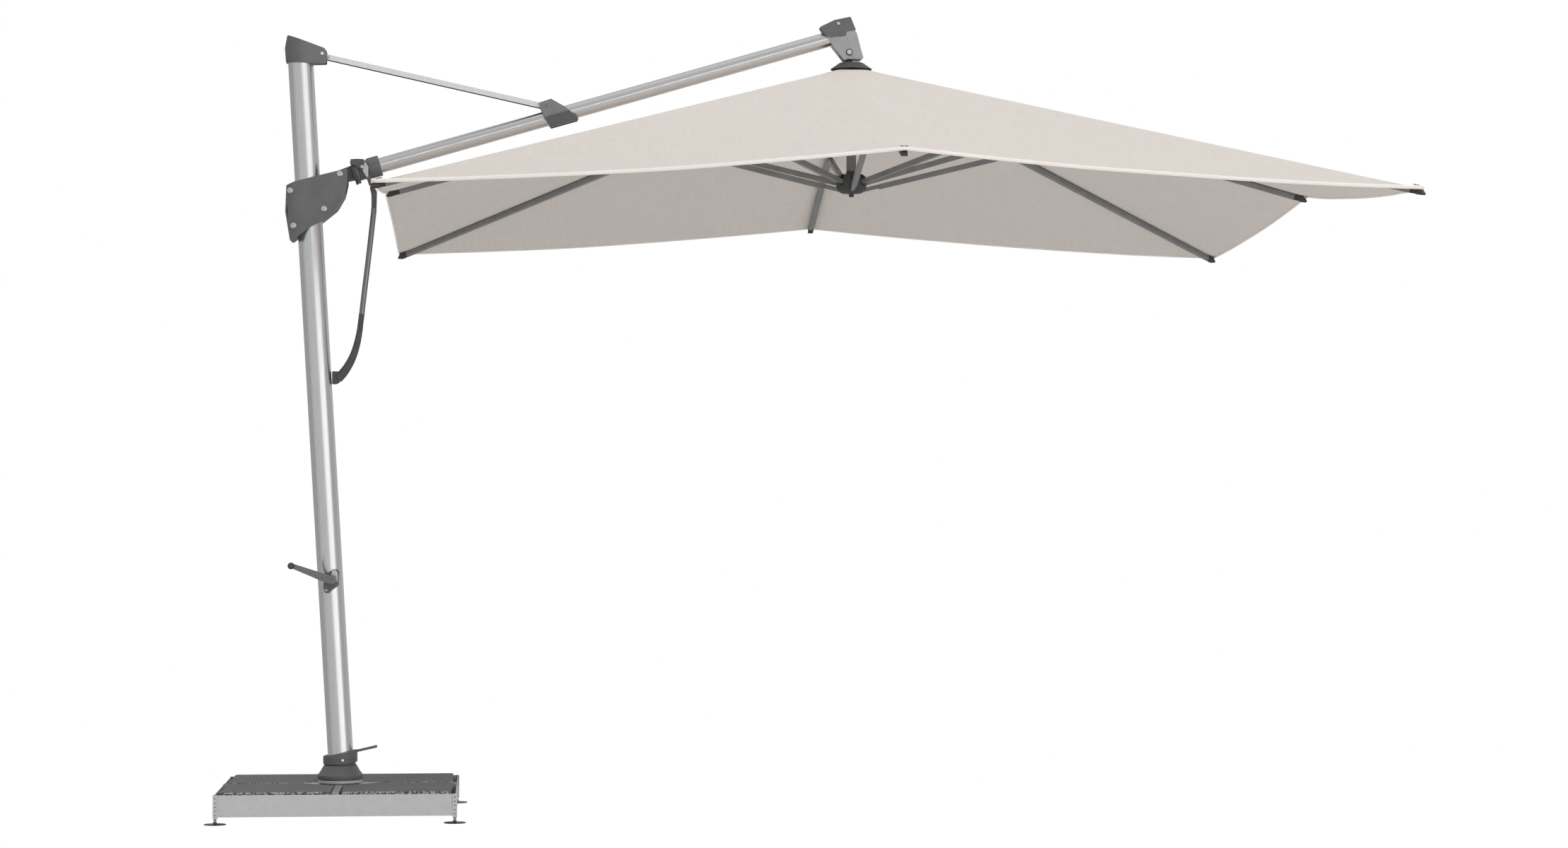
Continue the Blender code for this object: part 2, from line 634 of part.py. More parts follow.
def build_head(tilt):
    """Casting at the arm's outer end, slotted for the crown lug."""
    head = plate("arm_head", [rounded(local_points(tilt, HEAD_CORNERS), 2)],
                 -0.036, 0.036, tilt, CAST)
    cut(head, rod("head_socket", ARM_R + GAP, 1.8, ARM_END + 0.0005, tilt,
                  axis="X", seg=SEG))
    x, z = HEAD_PIN.x, HEAD_PIN.z
    arc = circle(x, z, HEAD_SLOT_R, 6, math.radians(12), HEAD_SLOT_END)
    slot = [(x + HEAD_SLOT_R, 2.78), (x + HEAD_SLOT_R, z), *arc,
            (arc[-1][0] - 0.155, arc[-1][1] - 0.121), (1.78, 2.70)]
    cut(head, plate("head_slot", [local_points(tilt, slot)], -0.0150, 0.0150, tilt))
    x, z = local_point(tilt, x, z)
    drill(head, "head_pin_hole", HEAD_HOLE_R, tilt, 18, x, z)
    capped_pin("head_pin", HEAD_PIN_R, 0.0385, "head_pin_cap", 0.0092, (0.0363, 0.0405),
               tilt, x, z, seg=18, cap_seg=18)


def build_arm(tie):
    arm = pivot("arm_pivot", ARM_PIVOT, rot_y(-ARM_SLOPE), tie)
    build_fork(arm)
    build_bracket(arm)
    tilt = pivot("arm_tilt_pivot", ARM_PIVOT, rot_y(-ARM_SLOPE), arm)
    tube("arm_tube", ARM_R, ARM_R - ARM_WALL, ARM_START, ARM_END, tilt, ALU,
         axis="X", seg=SEG)
    build_sleeve(tilt)
    build_head(tilt)
    return arm, tilt


# ================================================================ handle
YOKE_HALF, YOKE_GAP_HALF = 0.0484, 0.0455
YOKE_OUTLINE = [  # world x, z
    (0.0625, 2.4195), (0.0715, 2.4265), (0.0843, 2.4300), (0.0935, 2.4230),
    (0.1027, 2.3975), (0.1150, 2.3520), (0.1275, 2.3300), (0.1290, 2.3100),
    (0.1120, 2.3100), (0.1080, 2.3300), (0.0975, 2.3638), (0.0790, 2.3950),
    (0.0660, 2.4080),
]
YOKE_GAP = [(0.02, 2.46), (0.16, 2.46), (0.16, 2.3420), (0.02, 2.3420)]  # world x, z
BAR_STATIONS = [  # world x, z, radius
    (0.1190, 2.3260, 0.0090), (0.1205, 2.3050, 0.0092),
    (0.1203, 2.2810, 0.0092), (0.0760, 1.8575, 0.0092),
]
GRIP_STATIONS = [  # world x, z, radius
    (0.0759, 1.8570, 0.0105), (0.0738, 1.8330, 0.0110), (0.0700, 1.7980, 0.0110),
    (0.0625, 1.7560, 0.0112), (0.0510, 1.7120, 0.0118), (0.0360, 1.6720, 0.0126),
    (0.0180, 1.6370, 0.0138), (0.0020, 1.6130, 0.0146),
]
PAD_CORNERS = [  # world x, z, corner radius
    (-0.0325, 1.6490, 0.003), (-0.0330, 1.6060, 0.003), (-0.0120, 1.5960, 0.003),
    (0.0080, 1.6020, 0.003), (0.0110, 1.6260, 0.003), (-0.0150, 1.6480, 0.003),
]


def build_handle(tilt):
    """Yoke with two cheeks, a bar down from it, and a grip with a flat pad."""
    handle = pivot("handle_pivot", HANDLE_PIN, parent=tilt)
    yoke = plate("handle_tube", [local_points(handle, YOKE_OUTLINE)],
                 -YOKE_HALF, YOKE_HALF, handle, RIB_ALU)
    cut(yoke, plate("yoke_gap", [local_points(handle, YOKE_GAP)],
                    -YOKE_GAP_HALF, YOKE_GAP_HALF, handle))
    join(yoke, pipe("handle_bar", local_points(handle, BAR_STATIONS), handle, RIB_ALU))
    drill(yoke, "yoke_eye", PIN_HOLE_R, handle, 14)
    grip = pipe("handle_grip", local_points(handle, GRIP_STATIONS), handle, PLASTIC)
    join(grip, plate("grip_pad", [rounded(local_points(handle, PAD_CORNERS), 2)],
                     -0.0100, 0.0100, handle, PLASTIC))


# ================================================================ carriage
SHELL_HALF = 0.065
SHELL_CORNERS = [  # world x, z, corner radius
    (-0.2015, 2.3400, 0.005), (-0.1690, 2.3540, 0.01), (0.0245, 2.4035, 0.006),
    (0.0250, 2.3500, 0.02), (0.0150, 2.3020, 0.02), (-0.0140, 2.2520, 0.03),
    (-0.0680, 2.2080, 0.03), (-0.1140, 2.1840, 0.01), (-0.1790, 2.1320, 0.003),
    (-0.1880, 2.1350, 0.006), (-0.2060, 2.2430, 0.01),
]
CAVITY_OUTLINE = [  # world x, z
    (-0.1955, 2.3330), (-0.1660, 2.3440), (-0.0700, 2.3690), (-0.0400, 2.3850),
    (-0.0400, 2.43), (0.06, 2.43), (0.06, 2.3330), (-0.0080, 2.2960),
    (-0.0220, 2.2600), (-0.0720, 2.2160), (-0.1160, 2.1920), (-0.1740, 2.1430),
    (-0.1820, 2.1430), (-0.2000, 2.2430),
]
BOLTS = {"upper": (-0.186, 2.315), "middle": (-0.061, 2.249), "lower": (-0.174, 2.185)}
SHOES = {  # name: outline in world x, z, and the bolts that hold it
    "left": ([(-0.1930, 2.3300), (-0.1600, 2.3300), (-0.1500, 2.1700),
              (-0.1780, 2.1700), (-0.1960, 2.2450)], ("upper", "lower")),
    "right": ([(-0.1000, 2.3250), (-0.0490, 2.3250), (-0.0440, 2.2520),
               (-0.0690, 2.2240), (-0.1000, 2.2240)], ("middle",)),
}


def build_carriage(arm, mast):
    """Two shells bolted together round the mast, with glide shoes inside."""
    carriage = pivot("carriage_pivot", ARM_PIVOT, rot_y(-MAST_LEAN), arm)
    mast_x = -local_point(mast, ARM_PIVOT.x, ARM_PIVOT.z)[0]
    bolts = {label: local_point(carriage, x, z) for label, (x, z) in BOLTS.items()}

    def mast_bore(name, play):
        return rod(name, MAST_R + play, -0.4, 0.4, carriage,
                   axis="Z", at=(mast_x, 0, 0), seg=BIG_SEG)

    outline = rounded(local_points(carriage, SHELL_CORNERS), 3)
    cavity = local_points(carriage, CAVITY_OUTLINE)
    for side, low, high in (("front", -SHELL_HALF, -GAP), ("rear", GAP, SHELL_HALF)):
        shell = plate("carriage_shell_" + side, [outline], low, high, carriage, CAST)
        cut(shell, plate("shell_cavity", [cavity], -0.049, 0.049, carriage))
        cut(shell, mast_bore("shell_bore", 0.0012))
        for x, z in bolts.values():
            drill(shell, "bolt_hole", 0.0046, carriage, 14, x, z)
        cut(shell, rod("pivot_pocket", ARM_HOLE_R, -0.0585, 0.0585, carriage, seg=18))

    for label, (x, z) in bolts.items():
        capped_pin("carriage_bolt_" + label, 0.0040, 0.067, "bolt_head", 0.0100,
                   (0.0653, 0.0690), carriage, x, z, seg=14, cap_seg=18)
    rod("arm_pivot_pin", ARM_PIN_R, -0.0580, 0.0580, carriage, STEEL, seg=18)

    for label, (points, held_by) in SHOES.items():
        shoe = plate("glide_shoe_" + label, [local_points(carriage, points)],
                     -0.032, 0.032, carriage, PLASTIC)
        cut(shoe, mast_bore("shoe_bore", 0.0005))
        for bolt in held_by:
            drill(shoe, "shoe_hole", 0.0045, carriage, 14, *bolts[bolt])


# ================================================================ crown and runner
# turned profiles: radius, world height
HUB_PROFILE = [
    (0.0, 2.8200), (0.0215, 2.8200), (0.0215, 2.7860), (0.0560, 2.7845),
    (0.0560, 2.7230), (0.0500, 2.7180), (0.0, 2.7180),
]
COVER_PROFILE = [
    (0.0410, 2.8205), (0.0445, 2.8190), (0.0780, 2.7975), (0.0780, 2.7950),
    (0.0740, 2.7950), (0.0420, 2.8165), (0.0290, 2.8165), (0.0290, 2.8205),
]
RUNNER_PROFILE = [
    (0.0, 2.4221), (0.0195, 2.4221), (0.0205, 2.3990), (0.0460, 2.3975),
    (0.0530, 2.3890), (0.0530, 2.3560), (0.0490, 2.3400), (0.0380, 2.3270),
    (0.0120, 2.3240), (0.0095, 2.3215), (0.0095, 2.3125), (0.0, 2.3125),
]
LUG_R = 0.0140


def build_crown(tilt):
    """Crown hub hung on the head pin by its lug, with a cover and the guide tube."""
    crown = pivot("crown_pivot", HEAD_PIN, parent=tilt)
    hub = turned("crown_hub", lowered(HUB_PROFILE, HEAD_PIN.z), crown, CAST,
                 at=CROWN_AT, seg=SEG)
    lug = [(-LUG_R, -0.0500), (LUG_R, -0.0500)] + circle(0, 0, LUG_R, 12, 0.0, math.pi)
    join(hub, plate("crown_lug", [lug], -0.0142, 0.0142, crown, CAST))
    drill(hub, "lug_eye", HEAD_HOLE_R, crown, 18)
    turned("crown_cover", lowered(COVER_PROFILE, HEAD_PIN.z), crown, PLASTIC,
           at=CROWN_AT, seg=BIG_SEG, ring=True)
    tube("guide_tube", 0.0185, 0.0160, 2.4226 - HEAD_PIN.z, 2.7175 - HEAD_PIN.z,
         crown, ALU, at=CROWN_AT, seg=28)
    return crown, hub


def build_runner(crown):
    runner = pivot("runner_pivot", (CROWN_X, 0, RUNNER_Z), parent=crown)
    hub = turned("runner_hub", lowered(RUNNER_PROFILE, RUNNER_Z), runner, CAST, seg=SEG)
    return runner, hub


# ================================================================ ribs and stretchers
RIB_H, RIB_W, RIB_WALL = 0.018, 0.017, 0.002
RIB_HALF = RIB_H / 2
RIB_LIFT = 0.0172  # rib centre above the joint line, at the joint
TIP_BACK = 0.030  # the profile ends this far inside the tip radius
STRETCHER_H, STRETCHER_W = 0.015, 0.014
SLOT_PLAY = 0.0006  # each side of a rib or stretcher in its hub slot
SLOT_INNER, SLOT_OUTER = 0.0335, 0.12  # radii of the hub slots

# tip: radius, world height; end_slope: fall at the tip; body_start and hollow_start:
# where the profile's top and its hollow begin, from the hinge
RibKind = namedtuple("RibKind", "tip hinge_z end_slope body_start hollow_start")
CORNER_RIB = RibKind(tip=(2.475, 2.1925), hinge_z=CORNER_HINGE_Z, end_slope=0.2442,
                     body_start=0.030, hollow_start=0.05)
MIDDLE_RIB = RibKind(tip=(1.757, 2.310), hinge_z=MIDDLE_HINGE_Z, end_slope=0.2752,
                     body_start=0.045, hollow_start=0.08)


def rib_outline(kind, end_x, end_z, centre):
    """Side view of a rib: straight profile, with lugs below at the joint and the hinge."""
    joint = STRETCHER_LENGTH
    start = kind.body_start

    def top(x, share=1.0):
        return x, centre(x) + RIB_HALF * share

    def bottom(x):
        return x, centre(x) - RIB_HALF

    outline = [top(start), (end_x, end_z + RIB_HALF), (end_x, end_z - RIB_HALF),
               bottom(joint + 0.016), (joint + 0.0085, -0.0040)]
    outline += circle(joint, 0.0, 0.0095, 6, math.radians(-25), math.radians(-155))
    outline += [(joint - 0.0085, -0.0040), bottom(joint - 0.016),
                bottom(start + 0.012), (0.0130, 0.0010)]
    outline += circle(0, 0, 0.0075, 6, math.radians(-20), math.radians(-200))
    if kind is CORNER_RIB:
        outline += [(0.0035, centre(0.004) + RIB_HALF * 0.7)]
    else:
        outline += [(-0.0070, 0.0120), top(0.004, 0.2), top(0.016, 0.85)]
    return outline[::-1]


def build_rib(index, crown):
    """A rib and the stretcher jointed to it, running inwards and down to the runner."""
    kind = CORNER_RIB if index % 2 else MIDDLE_RIB
    azimuth = math.radians(45 * index)
    outward = Vector((math.cos(azimuth), math.sin(azimuth), 0))
    hinge = Vector((CROWN_X, 0, kind.hinge_z)) + outward * HINGE_R
    joint = hinge + (outward - Vector((0, 0, RIB_SLOPE))) * REACH
    turn = rot_z(azimuth) @ rot_y(RIB_ANGLE)  # local X runs outwards along the joint line
    frame = pivot("rib_pivot_%d" % index, hinge, turn, crown)
    stretcher = pivot("stretcher_pivot_%d" % index, joint, turn @ rot_y(-2 * RIB_ANGLE), frame)

    tip_r, tip_z = kind.tip
    end = Vector((CROWN_X, 0, tip_z + TIP_BACK * kind.end_slope)) + outward * (tip_r - TIP_BACK)
    end = WORLD[frame.name].inverted() @ end
    joint_x = STRETCHER_LENGTH
    slope = (end.z - RIB_LIFT) / (end.x - joint_x)

    def centre(x):
        """Height of the profile's centre line."""
        return RIB_LIFT + slope * (x - joint_x)

    rib = plate("rib_%d" % (index + 1), [rib_outline(kind, end.x, end.z, centre)],
                -RIB_W / 2, RIB_W / 2, frame, RIB_ALU)
    fork_half = STRETCHER_W / 2 + 0.0005
    cut(rib, box("rib_fork", (joint_x - 0.040, -fork_half, -0.020),
                 (joint_x + 0.030, fork_half, 0.00795), frame))
    hollow_y, hollow_z = RIB_W / 2 - RIB_WALL, RIB_HALF - RIB_WALL
    cut(rib, box("rib_hollow", (kind.hollow_start, -hollow_y, -hollow_z),
                 (3.0, hollow_y, hollow_z), frame,
                 local=Matrix.Translation((0, 0, centre(0))) @ rot_y(-math.atan(slope))))
    plate("stretcher_%d" % (index + 1),
          [stadium((-STRETCHER_LENGTH, 0.0), (0.0, 0.0), STRETCHER_H / 2, 6)],
          -STRETCHER_W / 2, STRETCHER_W / 2, stretcher, RIB_ALU)


def cut_hub_slots(index, crown, crown_hub, runner, runner_hub):
    turn = rot_z(math.radians(45 * index))
    half = RIB_W / 2 + SLOT_PLAY
    cut(crown_hub, box("crown_slot", (SLOT_INNER, -half, -0.3), (SLOT_OUTER, half, -0.0728),
                       crown, local=Matrix.Translation(CROWN_AT) @ turn))
    half = STRETCHER_W / 2 + SLOT_PLAY
    cut(runner_hub, box("runner_slot", (SLOT_INNER, -half, -0.2), (SLOT_OUTER, half, 0.2),
                        runner, local=turn))


# ================================================================ canopy fabric
FABRIC_APEX = 2.8050  # height where the rib lines would meet
FABRIC_HOLE_R = 0.030
FABRIC_THICKNESS = 0.0024  # measured upright
FABRIC_SAG = 0.018  # between two ribs, at the edge
FABRIC_LEVELS = [0.0, 0.35, 0.7, 0.9, 1.0]  # shares of the way from hole to edge


def fabric_on_rib(index, share):
    """Point of the fabric over a rib, from the canopy axis on the ground."""
    tip_r, tip_z = FABRIC_CORNER if index % 2 else FABRIC_MIDDLE
    azimuth = math.radians(45 * index)
    radius = FABRIC_HOLE_R + (tip_r - FABRIC_HOLE_R) * share
    z = FABRIC_APEX + (tip_z - FABRIC_APEX) * radius / tip_r
    return Vector((radius * math.cos(azimuth), radius * math.sin(azimuth), z))


def fabric_ring(share):
    """Sixteen points: one on each rib, and one sagging between it and the next."""
    points = []
    for index in range(8):
        here, after = fabric_on_rib(index, share), fabric_on_rib(index + 1, share)
        sag = Vector((0, 0, FABRIC_SAG * share ** 3))
        points += [here, (here + after) / 2 - sag]
    return points


def build_fabric(crown):
    bm = bmesh.new()
    sheets = []
    for lift in (0.0, FABRIC_THICKNESS):
        offset = Vector((CROWN_AT[0], 0, lift - HEAD_PIN.z))
        sheets.append([[bm.verts.new(point + offset) for point in fabric_ring(share)]
                       for share in FABRIC_LEVELS])
    bottom, top = sheets
    for i in range(16):
        j = (i + 1) % 16
        for sheet in sheets:
            for inner, outer in zip(sheet, sheet[1:]):
                quad = [inner[i], outer[i], outer[j], inner[j]]
                bm.faces.new(quad if sheet is top else quad[::-1])
        for level in (0, -1):
            bm.faces.new([bottom[level][i], bottom[level][j], top[level][j], top[level][i]])
    bmesh.ops.recalc_face_normals(bm, faces=bm.faces)
    add_part("canopy_fabric", mesh_from_bmesh("canopy_fabric", bm), crown, CLOTH)


# ================================================================ assembly
def build_parasol():
    base = build_base()
    swivel, mast = build_mast(base)
    build_crank(swivel)
    arm, tilt = build_arm(build_tie(swivel))
    build_handle(tilt)
    build_carriage(arm, mast)
    crown, crown_hub = build_crown(tilt)
    runner, runner_hub = build_runner(crown)
    for index in range(8):
        build_rib(index, crown)
        cut_hub_slots(index, crown, crown_hub, runner, runner_hub)
    build_fabric(crown)
    # the origin goes to the middle of the outline: foot disc to canopy edge
    base.location.x = -(CROWN_X + FABRIC_MIDDLE[0] - (POST_AT + FOOT_R)) / 2
    bpy.context.view_layer.update()


build_parasol()
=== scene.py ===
"""Cantilever parasol: a leaning mast on a slab-loaded base carries an arm and a square canopy.

Metres, +Z up. The arm reaches from the mast towards +X; front is -Y and left is -X.
Shapes are written with the base's swivel axis at X 0, and add_piece moves them by SHIFT
into the frame of the CAD. Outlines are (x, z) unless a comment says otherwise.
"""

import math
import random
from collections import namedtuple

import bmesh
import bpy
from mathutils import Matrix, Vector, noise


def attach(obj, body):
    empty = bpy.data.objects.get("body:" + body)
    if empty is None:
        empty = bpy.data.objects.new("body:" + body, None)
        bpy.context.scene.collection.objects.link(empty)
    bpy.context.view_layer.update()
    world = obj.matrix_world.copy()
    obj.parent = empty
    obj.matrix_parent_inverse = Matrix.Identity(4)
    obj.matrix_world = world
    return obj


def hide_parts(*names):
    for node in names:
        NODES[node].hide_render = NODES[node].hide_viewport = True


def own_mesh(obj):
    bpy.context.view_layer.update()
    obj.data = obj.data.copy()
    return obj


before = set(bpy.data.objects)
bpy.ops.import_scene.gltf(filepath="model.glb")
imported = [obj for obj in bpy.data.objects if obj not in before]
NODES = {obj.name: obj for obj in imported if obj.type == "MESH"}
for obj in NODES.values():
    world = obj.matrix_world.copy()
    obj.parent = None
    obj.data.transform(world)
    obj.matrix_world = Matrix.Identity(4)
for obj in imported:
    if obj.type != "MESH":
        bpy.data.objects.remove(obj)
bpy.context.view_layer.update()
random.seed(7)

# ---------------------------------------------------------------- driving dimensions
SHIFT = Vector((-1.60275, 0.0, 0.0))

# canopy; pairs are (radius from the canopy axis, height)
CANOPY_X = 1.9185
APEX_Z = 2.8050  # where the cloth's straight rib lines meet on the axis
CROWN_R = 0.067  # inner edge of the cloth
CORNER_RIM, MID_RIM = (2.478, 2.2035), (1.757, 2.3215)
CORNER_TIP, MID_TIP = (2.475, 2.1925), (1.757, 2.310)
HINGE_R = 0.042
CORNER_HINGE_Z, MID_HINGE_Z = 2.7642, 2.7377
RIB_SLOPE = 0.2442  # fall per metre outwards
MID_END_SLOPE = 0.2752  # the same at the end of the short ribs
JOINT_R = 0.86  # where the stretchers meet the ribs
RIB_LIFT = 0.0172  # rib centre line above that joint

MAST_R, ARM_R = 0.047, 0.0285
TUBE_WALL = 0.003
MAST_LEAN = math.atan(0.059)
MAST_Z = 0.235
ARM_SLOPE = math.atan2(0.2790, 0.9603)
ARM_PIVOT = Vector((-0.022, 0.0, 2.3716))
STRUT_PIN = Vector((-0.0486, 0.0, 2.823))
HEAD_PIN = Vector((1.908, 0.0, 2.858))
HANDLE_PIN = Vector((0.079, 0.0, 2.4106))
CRANK_AXIS = Vector((-0.028, 0.0, 0.874))

SIDES = ((-1, "front"), (1, "rear"))
CORNERS = (("front_left", -1, -1), ("front_right", 1, -1), ("back_left", -1, 1), ("back_right", 1, 1))


def rot_y(angle):
    return Matrix.Rotation(angle, 4, "Y")


def rot_z(angle):
    return Matrix.Rotation(angle, 4, "Z")


def facing(at, normal):
    """Placement that turns +Z to the normal."""
    turn = Vector(normal).normalized().to_track_quat("Z", "Y")
    return Matrix.Translation(at) @ turn.to_matrix().to_4x4()


ALONG_X = rot_y(math.pi / 2)
ALONG_Y = Matrix.Rotation(-math.pi / 2, 4, "X")
SWAP_YZ = Matrix(((1, 0, 0, 0), (0, 0, 1, 0), (0, 1, 0, 0), (0, 0, 0, 1)))
MAST_FRAME = Matrix.Translation((0, 0, MAST_Z)) @ rot_y(-MAST_LEAN)  # Z along the mast
ARM_FRAME = Matrix.Translation(ARM_PIVOT) @ rot_y(-ARM_SLOPE)  # X along the arm
CARRIAGE_FRAME = Matrix.Translation(ARM_PIVOT) @ rot_y(-MAST_LEAN)
CANOPY_FRAME = Matrix.Translation((CANOPY_X, 0, 0))


def local(place, x, z):
    point = place.inverted() @ Vector((x, 0.0, z))
    return point.x, point.z


def local_outline(place, points):
    return [local(place, x, z) for x, z in points]


# ---------------------------------------------------------------- shader nodes
class Nodes:
    """Short calls for building one shader tree."""

    def __init__(self, tree):
        self.tree = tree

    def add(self, kind, inputs=(), **settings):
        node = self.tree.nodes.new(kind)
        for key, value in settings.items():
            setattr(node, key, value)
        self.set(node, dict(inputs))
        return node

    def set(self, node, inputs):
        for key, value in inputs.items():
            self.feed(node.inputs[key], value)

    def feed(self, socket, value):
        """Links an output to the socket, or sets its value."""
        if isinstance(value, bpy.types.NodeSocket):
            self.tree.links.new(value, socket)
        elif socket.type == "RGBA":
            socket.default_value = (*value, 1.0)
        else:
            socket.default_value = value

    def ramp(self, fac, stops):
        """stops are (position, grey or colour)."""
        node = self.add("ShaderNodeValToRGB", {"Fac": fac})
        elements = node.color_ramp.elements
        while len(elements) < len(stops):
            elements.new(0.5)
        for element, (position, tone) in zip(elements, stops):
            element.position = position
            element.color = (*(tone if isinstance(tone, tuple) else (tone,) * 3), 1.0)
        return node.outputs["Color"]

    def mix(self, fac, a, b):
        node = self.add("ShaderNodeMix", data_type="RGBA")
        colours = [socket for socket in node.inputs if socket.type == "RGBA"]
        for socket, value in ((node.inputs[0], fac), (colours[0], a), (colours[1], b)):
            self.feed(socket, value)
        return next(out for out in node.outputs if out.type == "RGBA")

    def calc(self, operation, a, b=0.0, clamp=False):
        node = self.add("ShaderNodeMath", {0: a, 1: b}, operation=operation, use_clamp=clamp)
        return node.outputs["Value"]

    def rescale(self, value, gain, offset, clamp=False):
        return self.calc("ADD", self.calc("MULTIPLY", value, gain), offset, clamp)


class Paint(Nodes):
    """A material with a Principled shader and short calls for procedural textures."""

    def __init__(self, name, base, rough, metal=0.0, coords="Object"):
        self.material = bpy.data.materials.new(name)
        self.material.use_nodes = True
        super().__init__(self.material.node_tree)
        self.bsdf = next(node for node in self.tree.nodes if node.type == "BSDF_PRINCIPLED")
        self.surface({"Base Color": base, "Roughness": rough, "Metallic": metal})
        self.co = self.add("ShaderNodeTexCoord").outputs[coords]

    def surface(self, inputs):
        self.set(self.bsdf, inputs)

    def mapping(self, scale=(1, 1, 1), turn=(0, 0, 0)):
        inputs = {"Scale": scale, "Rotation": turn, "Vector": self.co}
        return self.add("ShaderNodeMapping", inputs).outputs["Vector"]

    def noise(self, vector, scale, detail=3.0, rough=0.55):
        inputs = {"Scale": scale, "Detail": detail, "Roughness": rough, "Vector": vector}
        return self.add("ShaderNodeTexNoise", inputs).outputs["Fac"]

    def voronoi(self, vector, scale, out="Distance"):
        return self.add("ShaderNodeTexVoronoi", {"Scale": scale, "Vector": vector}).outputs[out]

    def wave(self, scale, direction):
        inputs = {"Scale": scale, "Detail": 0.0, "Vector": self.mapping()}
        return self.add("ShaderNodeTexWave", inputs, bands_direction=direction).outputs["Fac"]

    def stretch(self, fac, low=0.3, high=0.7):
        """Black at low, white at high."""
        return self.ramp(fac, [(low, 0.0), (high, 1.0)])

    def channels(self, colour):
        return self.add("ShaderNodeSeparateColor", {0: colour}).outputs

    def normal_z(self):
        normal = self.add("ShaderNodeNewGeometry").outputs["Normal"]
        return self.add("ShaderNodeSeparateXYZ", {0: normal}).outputs["Z"]

    def edges(self, radius):
        """0 on flat faces, rising near edges, from a rounded normal."""
        bevel = self.add("ShaderNodeBevel", {"Radius": radius}, samples=4)
        normal = self.add("ShaderNodeNewGeometry").outputs["Normal"]
        inputs = {0: bevel.outputs["Normal"], 1: normal}
        dot = self.add("ShaderNodeVectorMath", inputs, operation="DOT_PRODUCT")
        return self.calc("SUBTRACT", 1.0, dot.outputs["Value"], clamp=True)

    def bump(self, height, strength, distance):
        inputs = {"Strength": strength, "Distance": distance, "Height": height}
        self.surface({"Normal": self.add("ShaderNodeBump", inputs).outputs["Normal"]})


def shade(colour, factor):
    return tuple(channel * factor for channel in colour)


def brushed(name, base, rough, turn=(0, 0, 0), fine=900.0, underside_shade=None, metal=1.0):
    """Drawn metal: fine lines along the profile, slight haze. A tone given for the underside is painted shade on
    faces that look down.
    """
    paint = Paint(name, base, rough, metal)
    lines = paint.noise(paint.mapping((fine, fine, 2.0), turn), scale=1.0, detail=2.0, rough=0.6)
    haze = paint.noise(paint.mapping((1, 1, 0.25), turn), scale=9.0)
    streaks = paint.stretch(lines, low=0.35, high=0.65)
    colour = paint.mix(streaks, shade(base, 0.93), shade(base, 1.05))
    roughness = paint.rescale(haze, gain=0.10, offset=rough - 0.05)
    if underside_shade is not None:
        # painted shade: faces that look down blend to a dark tone and turn rougher
        tilt = paint.calc("SUBTRACT", -0.52, paint.normal_z())
        down = paint.calc("MULTIPLY", tilt, 8.0, clamp=True)
        colour = paint.mix(down, colour, (underside_shade,) * 3)
        roughness = paint.calc("ADD", roughness, paint.calc("MULTIPLY", down, 0.5), clamp=True)
    paint.surface({"Base Color": colour, "Roughness": roughness})
    paint.bump(lines, strength=0.06, distance=0.0003)
    return paint.material


def casting(name, base, rough=0.46, edge_wear_and_highlight=0.10):
    """Powder-coated casting: fine orange peel, small tone drift, paler edges that are partly wear and partly painted
    highlight.
    """
    paint = Paint(name, base, rough, metal=0.15)
    drift = paint.noise(paint.co, scale=14.0)
    peel = paint.noise(paint.co, scale=1300.0, detail=2.0)
    spots = paint.noise(paint.co, scale=320.0, detail=2.0)
    colour = paint.mix(paint.stretch(drift), shade(base, 0.90), shade(base, 1.10))
    specks = paint.calc("MULTIPLY", paint.stretch(spots, low=0.55, high=0.75), 0.25)
    colour = paint.mix(specks, colour, shade(base, 1.35))
    # paler edges: partly wear, partly painted highlight
    edge = paint.calc("MULTIPLY", paint.edges(radius=0.003), 2.2, clamp=True)
    colour = paint.mix(paint.calc("MULTIPLY", edge, edge_wear_and_highlight), colour, (0.42, 0.42, 0.42))
    roughness = paint.rescale(spots, gain=0.16, offset=rough - 0.08)
    paint.surface({"Base Color": colour, "Roughness": roughness})
    paint.bump(peel, strength=0.18, distance=0.0004)
    return paint.material


def satin_plastic(name, base, rough):
    paint = Paint(name, base, rough)
    grain = paint.voronoi(paint.co, scale=1700.0)
    drift = paint.noise(paint.co, scale=22.0)
    colour = paint.mix(paint.stretch(drift), shade(base, 0.85), shade(base, 1.18))
    roughness = paint.rescale(drift, gain=0.18, offset=rough - 0.09)
    paint.surface({"Base Color": colour, "Roughness": roughness})
    paint.bump(grain, strength=0.22, distance=0.0004)
    return paint.material


def zinc(name):
    """Galvanised sheet: broad pale spangles, close in tone."""
    paint = Paint(name, (0.54, 0.54, 0.54), rough=0.50, metal=0.25)
    cells = paint.channels(paint.voronoi(paint.mapping(), scale=70.0, out="Color"))
    grain = paint.calc("MULTIPLY", paint.noise(paint.co, scale=260.0), 0.4)
    tone = paint.calc("ADD", paint.calc("MULTIPLY", cells[0], 0.6), grain)
    colour = paint.ramp(tone, [(0.15, (0.520, 0.517, 0.518)), (0.85, (0.560, 0.557, 0.558))])
    roughness = paint.rescale(cells[1], gain=0.05, offset=0.47)
    paint.surface({"Base Color": colour, "Roughness": roughness})
    paint.bump(paint.noise(paint.co, scale=420.0), strength=0.10, distance=0.0005)
    return paint.material


